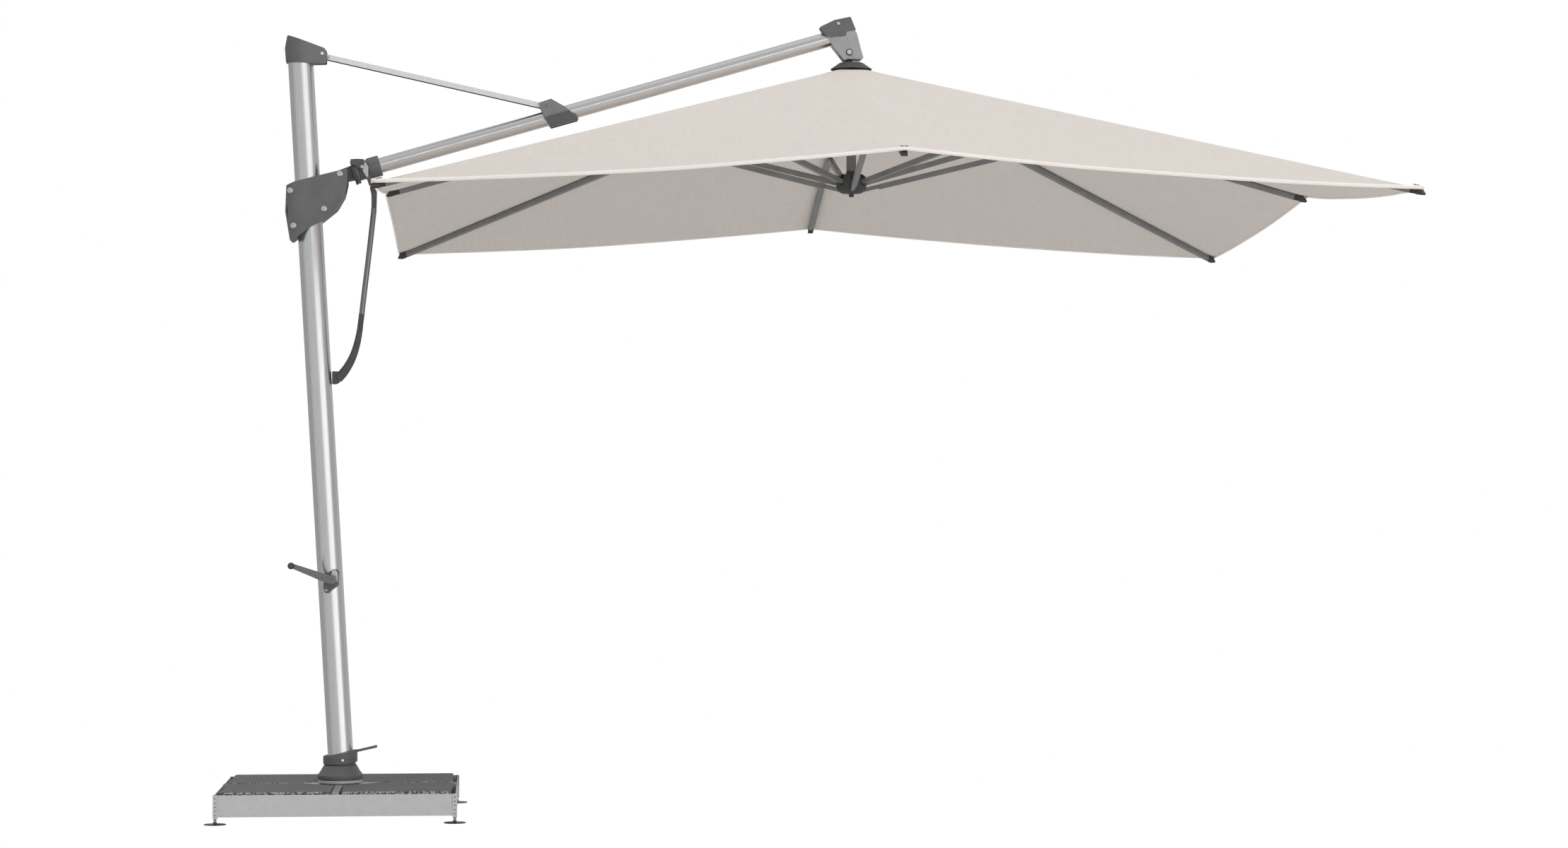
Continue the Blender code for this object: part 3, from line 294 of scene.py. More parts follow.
def paving(name):
    """Washed concrete: dark cement with pale and dark grains, strongest on the cut sides."""
    grain_scale = 230.0
    paint = Paint(name, (0.12, 0.12, 0.118), rough=0.85)
    cloud = paint.noise(paint.co, scale=7.0, detail=5.0)
    cement = paint.mix(paint.stretch(cloud), (0.125, 0.124, 0.122), (0.160, 0.159, 0.156))
    grains = paint.channels(paint.voronoi(paint.co, grain_scale, out="Color"))
    pale = paint.stretch(grains[0], low=0.42, high=0.46)
    dark = paint.stretch(grains[1], low=0.74, high=0.78)
    flat = paint.calc("SMOOTH_MAX", paint.normal_z(), 0.0)
    side = paint.calc("SUBTRACT", 1.0, flat, clamp=True)
    amount = paint.rescale(side, gain=0.95, offset=0.07, clamp=True)
    colour = paint.mix(paint.calc("MULTIPLY", pale, amount), cement, (0.80, 0.79, 0.77))
    colour = paint.mix(paint.calc("MULTIPLY", dark, amount), colour, (0.025, 0.025, 0.026))
    fines = paint.noise(paint.co, scale=900.0, detail=2.0)
    sand = paint.ramp(fines, [(0.35, 0.07), (0.7, (0.22, 0.22, 0.215))])
    paint.surface({"Base Color": paint.mix(0.35, colour, sand)})
    height = paint.calc("ADD", fines, paint.voronoi(paint.co, grain_scale))
    paint.bump(height, strength=0.55, distance=0.0016)
    return paint.material


def cloth(name, base):
    """Plain weave with slubs both ways and a faint sheen, on a UV map in metres."""
    long, short, threads = 5.0, 190.0, 360.0  # texture scales of the slubs and of the weave
    paint = Paint(name, base, rough=0.88, coords="UV")
    weft = paint.noise(paint.mapping((long, short, 1.0)), scale=1.0, rough=0.6)
    warp = paint.noise(paint.mapping((short, long, 1.0)), scale=1.0, rough=0.6)
    across, along = paint.wave(threads, "X"), paint.wave(threads, "Y")
    cloud = paint.stretch(paint.noise(paint.co, scale=1.3))
    warp_share = paint.calc("MULTIPLY", warp, 0.45)
    slub = paint.calc("ADD", paint.calc("MULTIPLY", weft, 0.55), warp_share)
    slub_fac = paint.stretch(slub, low=0.36, high=0.64)
    colour = paint.mix(slub_fac, shade(base, 0.93), shade(base, 1.06))
    cloud_tint = tuple(c * f for c, f in zip(base, (0.985, 0.965, 0.955)))
    colour = paint.mix(paint.calc("MULTIPLY", cloud, 0.25), colour, cloud_tint)
    weave = paint.calc("MULTIPLY", across, along)
    colour = paint.mix(paint.calc("MULTIPLY", weave, 0.12), colour, shade(base, 0.72))
    paint.surface({"Base Color": colour, "Sheen Weight": 0.12, "Sheen Roughness": 0.6})
    paint.surface({"Specular IOR Level": 0.2})
    relief = paint.calc("ADD", paint.calc("ADD", across, along), paint.calc("MULTIPLY", slub, 1.5))
    paint.bump(relief, strength=0.35, distance=0.0004)
    return paint.material


ALU = brushed("drawn_aluminium", (0.80, 0.80, 0.81), rough=0.26)
# a darker copy of the drawn aluminium for the arm: painted shade
ALU_ARM_SHADED = brushed("drawn_aluminium_arm_painted_shade", (0.71, 0.71, 0.715), rough=0.24, turn=(0, math.pi / 2 - ARM_SLOPE, 0))
# the tie strut's downward faces get painted shade
ALU_TIE = brushed("drawn_aluminium_tie", (0.74, 0.74, 0.74), rough=0.38, turn=(0, math.pi / 2, 0), underside_shade=0.03, metal=0.20)
# pale paint for the lip along the arm: a painted highlight line
ARM_HIGHLIGHT_PAINT = satin_plastic("arm_painted_highlight", (0.86, 0.86, 0.86), rough=0.35)
CAST = casting("anthracite_paint", (0.135, 0.136, 0.138))
# lighter copy of the anthracite paint for the strut bracket: painted highlight
CAST_BRACKET_LIT = casting("anthracite_bracket_painted_highlight", (0.195, 0.196, 0.198))
# darker copy of the anthracite paint for the bracket's lower sides: painted shade
CAST_BRACKET_SHADE = casting("anthracite_bracket_painted_shade", (0.098, 0.099, 0.101))
CAST_DARK = casting("anthracite_paint_dark", (0.070, 0.071, 0.072), rough=0.5, edge_wear_and_highlight=0.06)
CAST_CRANK = casting("grey_paint_crank", (0.185, 0.186, 0.188), edge_wear_and_highlight=0.06)
CAST_BOSS = casting("pale_grey_boss", (0.58, 0.58, 0.585), rough=0.40, edge_wear_and_highlight=0.03)
# paler copy of the anthracite paint for the arm head's body and cheeks: painted highlight
CAST_HEAD_LIT = casting("anthracite_head_painted_highlight", (0.37, 0.37, 0.375), rough=0.42, edge_wear_and_highlight=0.05)
RIB_PAINT = casting("grey_profile_paint", (0.225, 0.225, 0.220), rough=0.40)
PLASTIC = satin_plastic("black_plastic", (0.045, 0.043, 0.042), rough=0.48)
# pale paint for the yoke plates: painted highlight
YOKE_HIGHLIGHT_PAINT = casting("yoke_painted_highlight", (0.46, 0.46, 0.46), rough=0.40, edge_wear_and_highlight=0.05)
ROD_COAT = brushed("handle_rod_coat", (0.27, 0.27, 0.27), rough=0.26)
GRIP = satin_plastic("grip_plastic", (0.085, 0.085, 0.086), rough=0.55)
ZINC = zinc("galvanised")
ZINC_DULL = casting("dull_zinc", (0.30, 0.30, 0.30), rough=0.5, edge_wear_and_highlight=0.05)
SLAB = paving("washed_concrete")
STEEL_DARK = brushed("dark_steel", (0.125, 0.125, 0.125), rough=0.38, fine=1400.0)
STEEL = brushed("stainless", (0.72, 0.72, 0.72), rough=0.24, fine=1400.0)
CLOTH = cloth("canopy_cloth", (0.646, 0.596, 0.555))
HEM = cloth("hem_cloth", (0.86, 0.81, 0.77))
TUBE_PAINT = casting("guide_tube_paint", (0.200, 0.185, 0.180), rough=0.42, edge_wear_and_highlight=0.05)


# ---------------------------------------------------------------- mesh helpers
def bevel_edges(ob, width, segs):
    bevel = ob.modifiers.new("edge", "BEVEL")
    bevel.width = width
    bevel.segments = segs
    bevel.limit_method = "ANGLE"
    bevel.angle_limit = math.radians(32)
    bevel.harden_normals = True
    return bevel


def add_piece(name, mesh, body, mat, place=None, replaces=None,
              sharp=34.0, bevel=0.0, segs=2):
    """Places the mesh and makes it ride on a CAD body. sharp is in degrees."""
    ob = bpy.data.objects.new(name, mesh)
    bpy.context.scene.collection.objects.link(ob)
    if place is not None:
        mesh.transform(place)
    mesh.transform(Matrix.Translation(SHIFT))
    for face in mesh.polygons:
        face.use_smooth = True
    mesh.set_sharp_from_angle(angle=math.radians(sharp))
    mesh.materials.append(mat)
    if bevel > 0:
        bevel_edges(ob, bevel, segs).miter_outer = "MITER_ARC"
    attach(ob, body)
    if replaces:
        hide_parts(replaces)
    return ob


def mesh_of(bm, name="m"):
    bmesh.ops.recalc_face_normals(bm, faces=bm.faces)
    mesh = bpy.data.meshes.new(name)
    bm.to_mesh(mesh)
    bm.free()
    return mesh


def ring_point(radius, index, segs, z=0.0):
    return (radius * math.cos(2 * math.pi * index / segs), radius * math.sin(2 * math.pi * index / segs), z)


def lathe(profile, segs):
    """(radius, height) outline turned about Z; one that starts off the axis closes on itself."""
    bm = bmesh.new()
    rows = []
    for r, z in profile:
        if r < 1e-7:
            rows.append([bm.verts.new((0, 0, z))])
        else:
            rows.append([bm.verts.new(ring_point(r, i, segs, z)) for i in range(segs)])
    following = rows[1:] + rows[:1] if profile[0][0] > 0 else rows[1:]
    for a, b in zip(rows, following):
        for i in range(segs):
            j = (i + 1) % segs
            corners = (a[i % len(a)], a[j % len(a)], b[j % len(b)], b[i % len(b)])
            bm.faces.new(list(dict.fromkeys(corners)))
    return mesh_of(bm)


def prism(outline, y0, y1):
    """An (x, z) outline drawn out along Y."""
    bm = bmesh.new()
    a = [bm.verts.new((x, y0, z)) for x, z in outline]
    b = [bm.verts.new((x, y1, z)) for x, z in outline]
    bm.faces.new(a)
    bm.faces.new(b[::-1])
    n = len(outline)
    for i in range(n):
        bm.faces.new([a[i], b[i], b[(i + 1) % n], a[(i + 1) % n]])
    return mesh_of(bm)


def side_plate(outline, side, inner, outer):
    """A prism between two distances from the XZ plane, on the -Y or +Y side."""
    return prism(outline, *sorted((side * inner, side * outer)))


def upright_prism(outline, z0, z1):
    """An (x, y) outline drawn out along Z."""
    mesh = prism(outline, z0, z1)
    mesh.transform(SWAP_YZ)
    bm = bmesh.new()
    bm.from_mesh(mesh)
    bmesh.ops.recalc_face_normals(bm, faces=bm.faces)  # the swap turned them inwards
    bm.to_mesh(mesh)
    bm.free()
    return mesh


def block(lo, hi, place=None):
    bm = bmesh.new()
    bmesh.ops.create_cube(bm, size=1.0)
    size = Vector(hi) - Vector(lo)
    middle = (Vector(hi) + Vector(lo)) / 2
    fit = Matrix.Translation(middle) @ Matrix.Diagonal((*size, 1.0))
    bmesh.ops.transform(bm, matrix=fit, verts=bm.verts)
    mesh = mesh_of(bm)
    if place is not None:
        mesh.transform(place)
    return mesh


def cylinder(radius, z0, z1, segs=64, place=None):
    mesh = lathe([(0, z0), (radius, z0), (radius, z1), (0, z1)], segs)
    if place is not None:
        mesh.transform(place)
    return mesh


def carve(mesh, cutters, operation="DIFFERENCE"):
    """mesh with each cutter mesh taken off, joined on or intersected."""
    base = bpy.data.objects.new("carve", mesh)
    bpy.context.scene.collection.objects.link(base)
    helpers = [base]
    for cutter in cutters:
        ob = bpy.data.objects.new("cutter", cutter)
        bpy.context.scene.collection.objects.link(ob)
        helpers.append(ob)
        boolean = base.modifiers.new("b", "BOOLEAN")
        boolean.operation = operation
        boolean.object = ob
        boolean.solver = "EXACT"
    graph = bpy.context.evaluated_depsgraph_get()
    graph.update()
    out = bpy.data.meshes.new_from_object(base.evaluated_get(graph))
    for ob in helpers:
        bpy.data.objects.remove(ob, do_unlink=True)
    return out


def sweep(path, radii, segs):
    """A round bar with domed ends along an (x, z) path; one radius per point."""
    points = [Vector((p.x, 0, p.y)) for p in path]
    last = len(points) - 1
    tangents = [(points[min(i + 1, last)] - points[max(i - 1, 0)]).normalized() for i in range(last + 1)]
    across = Vector((0, 1, 0))
    bm = bmesh.new()
    rings = []
    for p, t, r in zip(points, tangents, radii):
        up = t.cross(across)
        ring = []
        for j in range(segs):
            u, v, _ = ring_point(r, j, segs)
            ring.append(bm.verts.new(p + across * u + up * v))
        rings.append(ring)
    for a, b in zip(rings, rings[1:]):
        for j in range(segs):
            bm.faces.new([a[j], a[(j + 1) % segs], b[(j + 1) % segs], b[j]])
    for end, way in ((0, -1), (last, 1)):
        ring, p, t = rings[end], points[end], tangents[end]
        r = (ring[0].co - p).length
        inner = [bm.verts.new(p + (v.co - p) * 0.75 + t * (way * r * 0.28)) for v in ring]
        tip = bm.verts.new(p + t * (way * r * 0.36))
        for j in range(segs):
            bm.faces.new([ring[j], ring[(j + 1) % segs], inner[(j + 1) % segs], inner[j]])
            bm.faces.new([inner[j], inner[(j + 1) % segs], tip])
    return mesh_of(bm)


def spline(points, steps):
    """Catmull-Rom through the points, as a finer list."""
    pts = [Vector(p) for p in points]
    out = []
    for i in range(len(pts) - 1):
        p0, p1, p2, p3 = pts[max(i - 1, 0)], pts[i], pts[i + 1], pts[min(i + 2, len(pts) - 1)]
        for k in range(steps):
            t = k / steps
            square = (2 * p0 - 5 * p1 + 4 * p2 - p3) * t * t
            cube = (3 * p1 - p0 - 3 * p2 + p3) * t ** 3
            out.append(0.5 * ((2 * p1) + (p2 - p0) * t + square + cube))
    out.append(pts[-1])
    return out


def arc(x, z, radius, steps, start, end):
    angles = [start + (end - start) * i / steps for i in range(steps + 1)]
    return [(x + radius * math.cos(a), z + radius * math.sin(a)) for a in angles]


def corner_curve(p, to_a, to_b, d, steps):
    """Points of a curve that cuts corner p at distance d towards both neighbours."""
    start, end = p + to_a.normalized() * d, p + to_b.normalized() * d
    out = []
    for k in range(steps + 1):
        t = k / steps
        q = start * (1 - t) ** 2 + p * 2 * t * (1 - t) + end * t ** 2
        out.append((q.x, q.y))
    return out


def rounded(points, radius, steps):
    """A closed outline with rounded corners; one radius or one per point."""
    out = []
    for i, point in enumerate(points):
        p = Vector(point)
        to_a, to_b = Vector(points[i - 1]) - p, Vector(points[(i + 1) % len(points)]) - p
        r = radius[i] if isinstance(radius, list) else radius
        d = min(r / math.tan(to_a.angle(to_b) / 2), 0.45 * min(to_a.length, to_b.length))
        out += corner_curve(p, to_a, to_b, d, steps)
    return out


def softened(profile, size):
    """An open outline with its inner corners rounded by size."""
    out = [profile[0]]
    for a, point, b in zip(profile, profile[1:], profile[2:]):
        p = Vector(point)
        to_a, to_b = Vector(a) - p, Vector(b) - p
        d = min(size, 0.4 * to_a.length, 0.4 * to_b.length)
        out += corner_curve(p, to_a, to_b, d, 3)
    out.append(profile[-1])
    return out


def bolt_head(name, at, normal, radius, height, body, mat=STEEL):
    """A button head: domed rim, flat crown and a six-sided socket."""
    segs = 48
    socket = 0.48  # socket opening as a share of the head radius
    bm = bmesh.new()
    # (share of radius, share of height)
    dome = [(1, 0.0), (1, 0.25), (0.93, 0.62), (0.78, 0.90), (0.62, 1), (socket, 1)]
    rows = []
    for wide, high in dome:
        rows.append([bm.verts.new(ring_point(radius * wide, i, segs, height * high)) for i in range(segs)])
    for high in (0.98, 0.45):
        row = []
        for i in range(segs):
            angle = 2 * math.pi * i / segs
            flat = math.cos(math.pi / 6) / math.cos((angle % (math.pi / 3)) - math.pi / 6)
            row.append(bm.verts.new(ring_point(radius * socket * 0.90 * flat, i, segs, height * high)))
        rows.append(row)
    for a, b in zip(rows, rows[1:]):
        for i in range(segs):
            bm.faces.new([a[i], a[(i + 1) % segs], b[(i + 1) % segs], b[i]])
    bm.faces.new(rows[-1])
    bm.faces.new(rows[0][::-1])
    return add_piece(name, mesh_of(bm), body, mat, facing(at, normal), sharp=40)


# ---------------------------------------------------------------- dressing the CAD nodes that stay
def dress_group():
    """Merges the CAD mesh, drops its normals and shades it smooth except at sharp edges."""
    group = bpy.data.node_groups.new("dress", "GeometryNodeTree")
    for way in ("INPUT", "OUTPUT"):
        group.interface.new_socket("Geometry", in_out=way, socket_type="NodeSocketGeometry")
    new, link = group.nodes.new, group.links.new
    start, finish = new("NodeGroupInput"), new("NodeGroupOutput")
    merge = new("GeometryNodeMergeByDistance")
    merge.inputs["Distance"].default_value = 1e-5
    drop = new("GeometryNodeRemoveAttribute")
    drop.inputs["Name"].default_value = "custom_normal"
    smooth = new("GeometryNodeSetShadeSmooth")
    smooth.domain = "FACE"
    crease = new("GeometryNodeSetShadeSmooth")
    crease.domain = "EDGE"
    crease.inputs["Shade Smooth"].default_value = False
    angle = new("GeometryNodeInputMeshEdgeAngle")
    compare = new("FunctionNodeCompare")
    compare.data_type = "FLOAT"
    compare.operation = "GREATER_THAN"
    compare.inputs[1].default_value = math.radians(30)
    link(start.outputs[0], merge.inputs["Geometry"])
    for a, b in ((merge, drop), (drop, smooth), (smooth, crease)):
        link(a.outputs["Geometry"], b.inputs["Geometry"])
    link(angle.outputs["Unsigned Angle"], compare.inputs[0])
    link(compare.outputs[0], crease.inputs["Selection"])
    link(crease.outputs["Geometry"], finish.inputs[0])
    return group


DRESS = dress_group()


def dress(node, mat, bevel=0.0008, segs=2):
    ob = NODES[node]
    ob.data.materials.clear()
    ob.data.materials.append(mat)
    ob.modifiers.new("dress", "NODES").node_group = DRESS
    if bevel:
        bevel_edges(ob, bevel, segs)


# ================================================================ base
dress("base_frame", ZINC, bevel=0.0010)
dress("base_cross", ZINC_DULL, bevel=0.0010)

SLAB_GAP = 0.0200  # from the cross's centre lines to the slabs
SLAB_EDGE, SLAB_TRIM = 0.4155, 0.4055  # outer edge, and where its corner is cut
SLAB_NOTCH = 0.1300  # the inner corner is cut across here, to clear the flange
slab_plan = [  # (x, y) of the slab on the +X +Y side
    (SLAB_GAP, SLAB_NOTCH), (SLAB_GAP, SLAB_EDGE), (SLAB_TRIM, SLAB_EDGE),
    (SLAB_EDGE, SLAB_TRIM), (SLAB_EDGE, SLAB_GAP), (SLAB_NOTCH, SLAB_GAP)]
for label, sx, sy in CORNERS:
    source = bpy.data.objects["slab_" + label]
    heights = [(source.matrix_world @ v.co).z for v in source.data.vertices]
    slab = upright_prism([(x * sx, y * sy) for x, y in slab_plan], min(heights), max(heights))
    add_piece("paving_" + label, slab, "base", SLAB, replaces="slab_" + label, bevel=0.0012)

slab_top = max(heights)
for s, side in ((-1, "left"), (1, "right")):  # tapered gussets of the cross beside the flange
    outline = [(s * 0.070, -0.046), (s * 0.1385, -0.0035), (s * 0.1385, 0.0035), (s * 0.070, 0.046)]
    gusset = upright_prism(outline, slab_top - 0.0045, slab_top - 0.0012)
    add_piece("gusset_" + side, gusset, "base", ZINC, bevel=0.0005)

flange_profile = [(0.0, 0.1153), (0.0812, 0.1153), (0.0825, 0.1165), (0.0825, 0.1256), (0.0812, 0.127), (0.0, 0.127)]
flange = lathe(softened(flange_profile, 0.0006), 128)
add_piece("flange_plate", flange, "base", ZINC, replaces="base_flange")
cone_profile = [
    (0.0, 0.1275), (0.082, 0.1275), (0.0846, 0.1300), (0.0850, 0.1420), (0.0840, 0.1456), (0.0812, 0.1486),
    (0.0732, 0.1590), (0.0650, 0.1735), (0.0612, 0.1800), (0.0330, 0.1800), (0.0315, 0.2125), (0.0, 0.2140)]
add_piece("foot_cone_body", lathe(softened(cone_profile, 0.0012), 128), "base", CAST, replaces="foot_cone")

# levelling feet: a dished pad, a hexless neck and a threaded spindle
FOOT_OFFSET = 0.430
THREAD_R, THREAD_ROOT, THREAD_PITCH = 0.0041, 0.0035, 0.0013
foot_profile = [
    (0.0, 0.0), (0.0392, 0.0), (0.0400, 0.0007), (0.0400, 0.0022), (0.0390, 0.0029), (0.0150, 0.0036),
    (0.0082, 0.0044), (0.0066, 0.0052), (0.0062, 0.0090), (0.0052, 0.0100), (THREAD_R, 0.0102)]
z = 0.0130
while z < 0.089:
    foot_profile += [(THREAD_R, z), (THREAD_ROOT, z + 0.0006)]
    z += THREAD_PITCH
foot_profile += [(0.0034, 0.0895), (0.0, 0.0900)]

NUT_R, NUT_HEIGHT, NUT_TOP = 0.0066, 0.0045, 0.0153
HOLE_FIRST, HOLE_PITCH = 0.034, 0.015  # heights of the post's holes
POST_HALF = 0.0080
hole_shade_disc = [(0.0, 0.0), (0.0016, 0.0), (0.0022, 0.0003), (0.0022, 0.0006), (0.0, 0.0006)]
for label, sx, sy in CORNERS:
    at = (sx * FOOT_OFFSET, sy * FOOT_OFFSET, 0)
    add_piece("levelling_foot_" + label, lathe(foot_profile, 48), "foot_" + label, STEEL_DARK,
              Matrix.Translation(at), replaces="foot_" + label)
    hexagon = [math.radians(60 * i) for i in range(6)]
    nut = prism([(NUT_R * math.cos(a), NUT_R * math.sin(a)) for a in hexagon], 0, NUT_HEIGHT)
    nut.transform(ALONG_Y)  # hangs down from its top face
    nut = carve(nut, [cylinder(0.0043, -0.01, 0.02, segs=24)])
    add_piece("post_nut_" + label, nut, "base", STEEL, Matrix.Translation((*at[:2], NUT_TOP)),
              bevel=0.0004)
    # dark discs stand in for the posts' holes: painted shade
    for k in range(5):
        for axis, normal in (("y", Vector((0, sy, 0))), ("x", Vector((sx, 0, 0)))):
            centre = Vector(at) + normal * POST_HALF + Vector((0, 0, HOLE_FIRST + HOLE_PITCH * k))
            add_piece(f"post_hole_{label}_{axis}{k}", lathe(hole_shade_disc, 20), "base", CAST_DARK,
                      facing(centre, normal))

# ================================================================ mast and pedal
MAST_FOOT, MAST_TOP, MAST_EDGE = -0.0296, 2.605, 0.0006
mast_profile = [
    (MAST_R - TUBE_WALL, MAST_FOOT), (MAST_R - MAST_EDGE, MAST_FOOT), (MAST_R, MAST_FOOT + MAST_EDGE),
    (MAST_R, MAST_TOP - MAST_EDGE), (MAST_R - MAST_EDGE, MAST_TOP), (MAST_R - TUBE_WALL, MAST_TOP)]
add_piece("mast_profile", lathe(mast_profile, 160), "mast", ALU, MAST_FRAME,
          replaces="mast_tube")

# collar round the mast foot: hollow below, its top cut on a slant outside a round core
collar_profile = [
    (0.0, 0.1805), (0.0590, 0.1805), (0.0600, 0.1812), (0.0600, 0.1830), (0.0585, 0.1842),
    (0.0570, 0.1848), (0.0570, 0.2320), (0.0, 0.2320)]
HALF_SPACE = (-0.1, -0.1, 0.0), (0.1, 0.1, 0.08)  # a block larger than the pieces it trims
collar = carve(lathe(softened(collar_profile, 0.0006), 160), [cylinder(0.0340, 0.17, 0.2165)])
top_cut = block(*HALF_SPACE, Matrix.Translation((0, 0, 0.2185)) @ rot_y(-math.atan(0.125)))
top_cut = carve(top_cut, [cylinder(0.0380, -0.2, 0.6)])
add_piece("collar_body", carve(collar, [top_cut]), "mast", CAST, replaces="swivel_collar")

# pedal: a skirt round the collar with a slanting rim, and the foot blade
SKIRT_IN, SKIRT_R, SKIRT_FOOT, SKIRT_TOP = 0.0605, 0.0636, -0.0272, 0.0360
PEDAL_PLACE = Matrix.Translation((0, 0, 0.2125))
lid = Matrix.Translation((0, 0, 0.0135)) @ rot_y(-math.atan(0.185))
skirt = lathe([(SKIRT_IN, SKIRT_FOOT), (0.0632, SKIRT_FOOT), (SKIRT_R, -0.0268), (SKIRT_R, SKIRT_TOP),
               (SKIRT_IN, SKIRT_TOP)], 160)
skirt_cut = block(*HALF_SPACE, lid)
foot_slant = Matrix.Translation((0, 0, SKIRT_FOOT)) @ rot_y(-math.atan(0.128))
foot_cut = block((0.0, -0.1, -0.08), (0.1, 0.1, 0.0), foot_slant)  # clears the collar when pressed
skirt = carve(skirt, [skirt_cut, foot_cut])
lip = lathe([(0.0500, -0.0031), (0.0622, -0.0031), (0.0622, -0.0001), (0.0500, -0.0001)], 160)
lip.transform(lid)
skirt = carve(skirt, [lip], "UNION")
blade = block((0.0622, -0.0240, -0.0075), (0.1385, 0.0240, 0.0))
blade_sides = []
for s in (-1, 1):
    outline = [  # (x, y)
        (0.0600, s * 0.0160), (0.1345, s * 0.0240), (0.1385, s * 0.0205),
        (0.1500, s * 0.0205), (0.1500, s * 0.06), (0.0600, s * 0.06)]
    blade_sides.append(upright_prism(outline, -0.03, 0.03))
blade = carve(blade, blade_sides)
blade.transform(Matrix.Translation((0, 0, 0.0100)) @ rot_y(-math.atan(0.226)))
skirt = carve(skirt, [blade], "UNION")
add_piece("pedal_body", skirt, "pedal", CAST, PEDAL_PLACE, replaces="swivel_pedal", bevel=0.0008)
bolt_head("pedal_bolt", (0.0110, -0.0622, 0.2010), (0.17, -1, 0), 0.0064, 0.0030, "pedal")
bead = lathe([(0.0634, -0.0100), (0.0641, -0.0098), (0.0641, -0.0088), (0.0634, -0.0086)], 160)
add_piece("pedal_bead", bead, "pedal", CAST_DARK, PEDAL_PLACE)

# head cap: side outline crossed with a plan that wraps the mast and narrows to a nose
CAP_BACK_R, CAP_ARC = 0.0560, math.radians(68)
NOSE_HALF = 0.0290
pin_x, pin_z = local(MAST_FRAME, STRUT_PIN.x, STRUT_PIN.z)
cap_side = local_outline(MAST_FRAME, [
    (-0.199, 2.902), (-0.210, 2.854), (-0.2055, 2.801), (-0.099, 2.7990),
    (-0.060, 2.7990), (-0.0545, 2.802), (-0.0530, 2.843), (-0.0625, 2.8560)])
cap_side = rounded(cap_side, [0.004, 0.012, 0.005, 0.01, 0.003, 0.003, 0.006, 0.012], 6)
nose_x = pin_x - 0.004
cap_plan = arc(0.0, 0.0, CAP_BACK_R, 40, CAP_ARC, 2 * math.pi - CAP_ARC)  # (x, y)
cap_plan += [(nose_x, -NOSE_HALF), (pin_x + 0.004, -0.0262), (pin_x + 0.004, 0.0262), (nose_x, NOSE_HALF)]
cap = carve(prism(cap_side, -0.075, 0.075), [upright_prism(cap_plan, 2.40, 2.85)], "INTERSECT")
strut_slot = prism([
    (pin_x - 0.0125, pin_z + 0.0130), (pin_x - 0.0125, pin_z - 0.08),
    (pin_x + 0.08, pin_z - 0.08), (pin_x + 0.08, pin_z + 0.0130)], -0.0187, 0.0187)
mast_bore = cylinder(MAST_R + 0.0003, 2.3, MAST_TOP + 0.0005, segs=96)
cap = carve(cap, [strut_slot, mast_bore])
add_piece("cap_body", cap, "mast", CAST, MAST_FRAME, replaces="mast_head_cap", bevel=0.0018, segs=3)
dress("strut_top_pin", STEEL, bevel=0.0004)
bolt_x, bolt_z = -0.071, 2.835
arc_x, arc_y = CAP_BACK_R * math.cos(CAP_ARC), CAP_BACK_R * math.sin(CAP_ARC)
flank_slope = (arc_y - NOSE_HALF) / (nose_x - arc_x)
flank_half = NOSE_HALF + flank_slope * (nose_x - local(MAST_FRAME, bolt_x, bolt_z)[0])
for s, side in SIDES:
    at = (bolt_x, s * (flank_half - 0.0004), bolt_z)
    bolt_head("cap_bolt_" + side, at, (flank_slope, s, 0), 0.0078, 0.0036, "mast")

# crank housing
dress("crank_housing", CAST, bevel=0.0014, segs=3)
boss_outline = [
    (-0.0259, 0.8793), (-0.0148, 0.8684), (-0.0072, 0.8637), (-0.0066, 0.8775), (-0.0080, 0.8980),
    (-0.0129, 0.9060), (-0.0202, 0.9082), (-0.0284, 0.9042), (-0.0306, 0.8868)]
boss = prism(rounded(boss_outline, 0.005, 5), -0.0858, -0.0595)
add_piece("housing_boss", boss, "mast", CAST_BOSS, bevel=0.0016, segs=3)
bolt_head("housing_screw", (-0.0505, -0.0598, 0.8330), (0, -1, 0), 0.0050, 0.0024, "mast")

# ================================================================ tie strut and arm
dress("tie_strut", ALU_TIE, bevel=0.0030, segs=3)
dress("arm_fork", CAST_DARK)
# the strut bracket and its pin carry painted highlight in a lighter copy of the anthracite paint
dress("strut_bracket", CAST_BRACKET_LIT, bevel=0.0016, segs=3)
# thin dark plates on the bracket's lower sides: painted shade where it turns under the tube
bracket_shade_plate = [  # in the arm's frame
    (0.8137, 0.0040), (0.8235, -0.0262), (0.8292, -0.0375), (0.9340, -0.0375),
    (0.9335, -0.0310), (0.9130, 0.0010), (0.9100, 0.0040)]
for s, side in SIDES:
    add_piece("bracket_shade_plate_" + side, side_plate(bracket_shade_plate, s, 0.0398, 0.0408), "arm", CAST_BRACKET_SHADE,
              ARM_FRAME, bevel=0.0006)
dress("bracket_pin", CAST_BRACKET_LIT, bevel=0.0004)

ARM_START, ARM_END = 0.1505, 1.949
ARM_TURNED = ARM_FRAME @ ALONG_X  # for lathed pieces round the arm
arm_profile = [(ARM_R - TUBE_WALL, ARM_START), (ARM_R, ARM_START), (ARM_R, ARM_END), (ARM_R - TUBE_WALL, ARM_END)]
add_piece("arm_profile", lathe(arm_profile, 128), "upper_arm", ALU_ARM_SHADED, ARM_TURNED,
          replaces="arm_tube")
for s, side in SIDES:  # raised lip along the middle of each side, in pale paint: a painted highlight line
    near, far = sorted((s * (ARM_R - 0.0015), s * (ARM_R + 0.0005)))
    lip = block((0.1760, near, -0.0014), (ARM_END - 0.001, far, 0.0014))
    add_piece("arm_highlight_lip_" + side, lip, "upper_arm", ARM_HIGHLIGHT_PAINT, ARM_FRAME, bevel=0.0004)

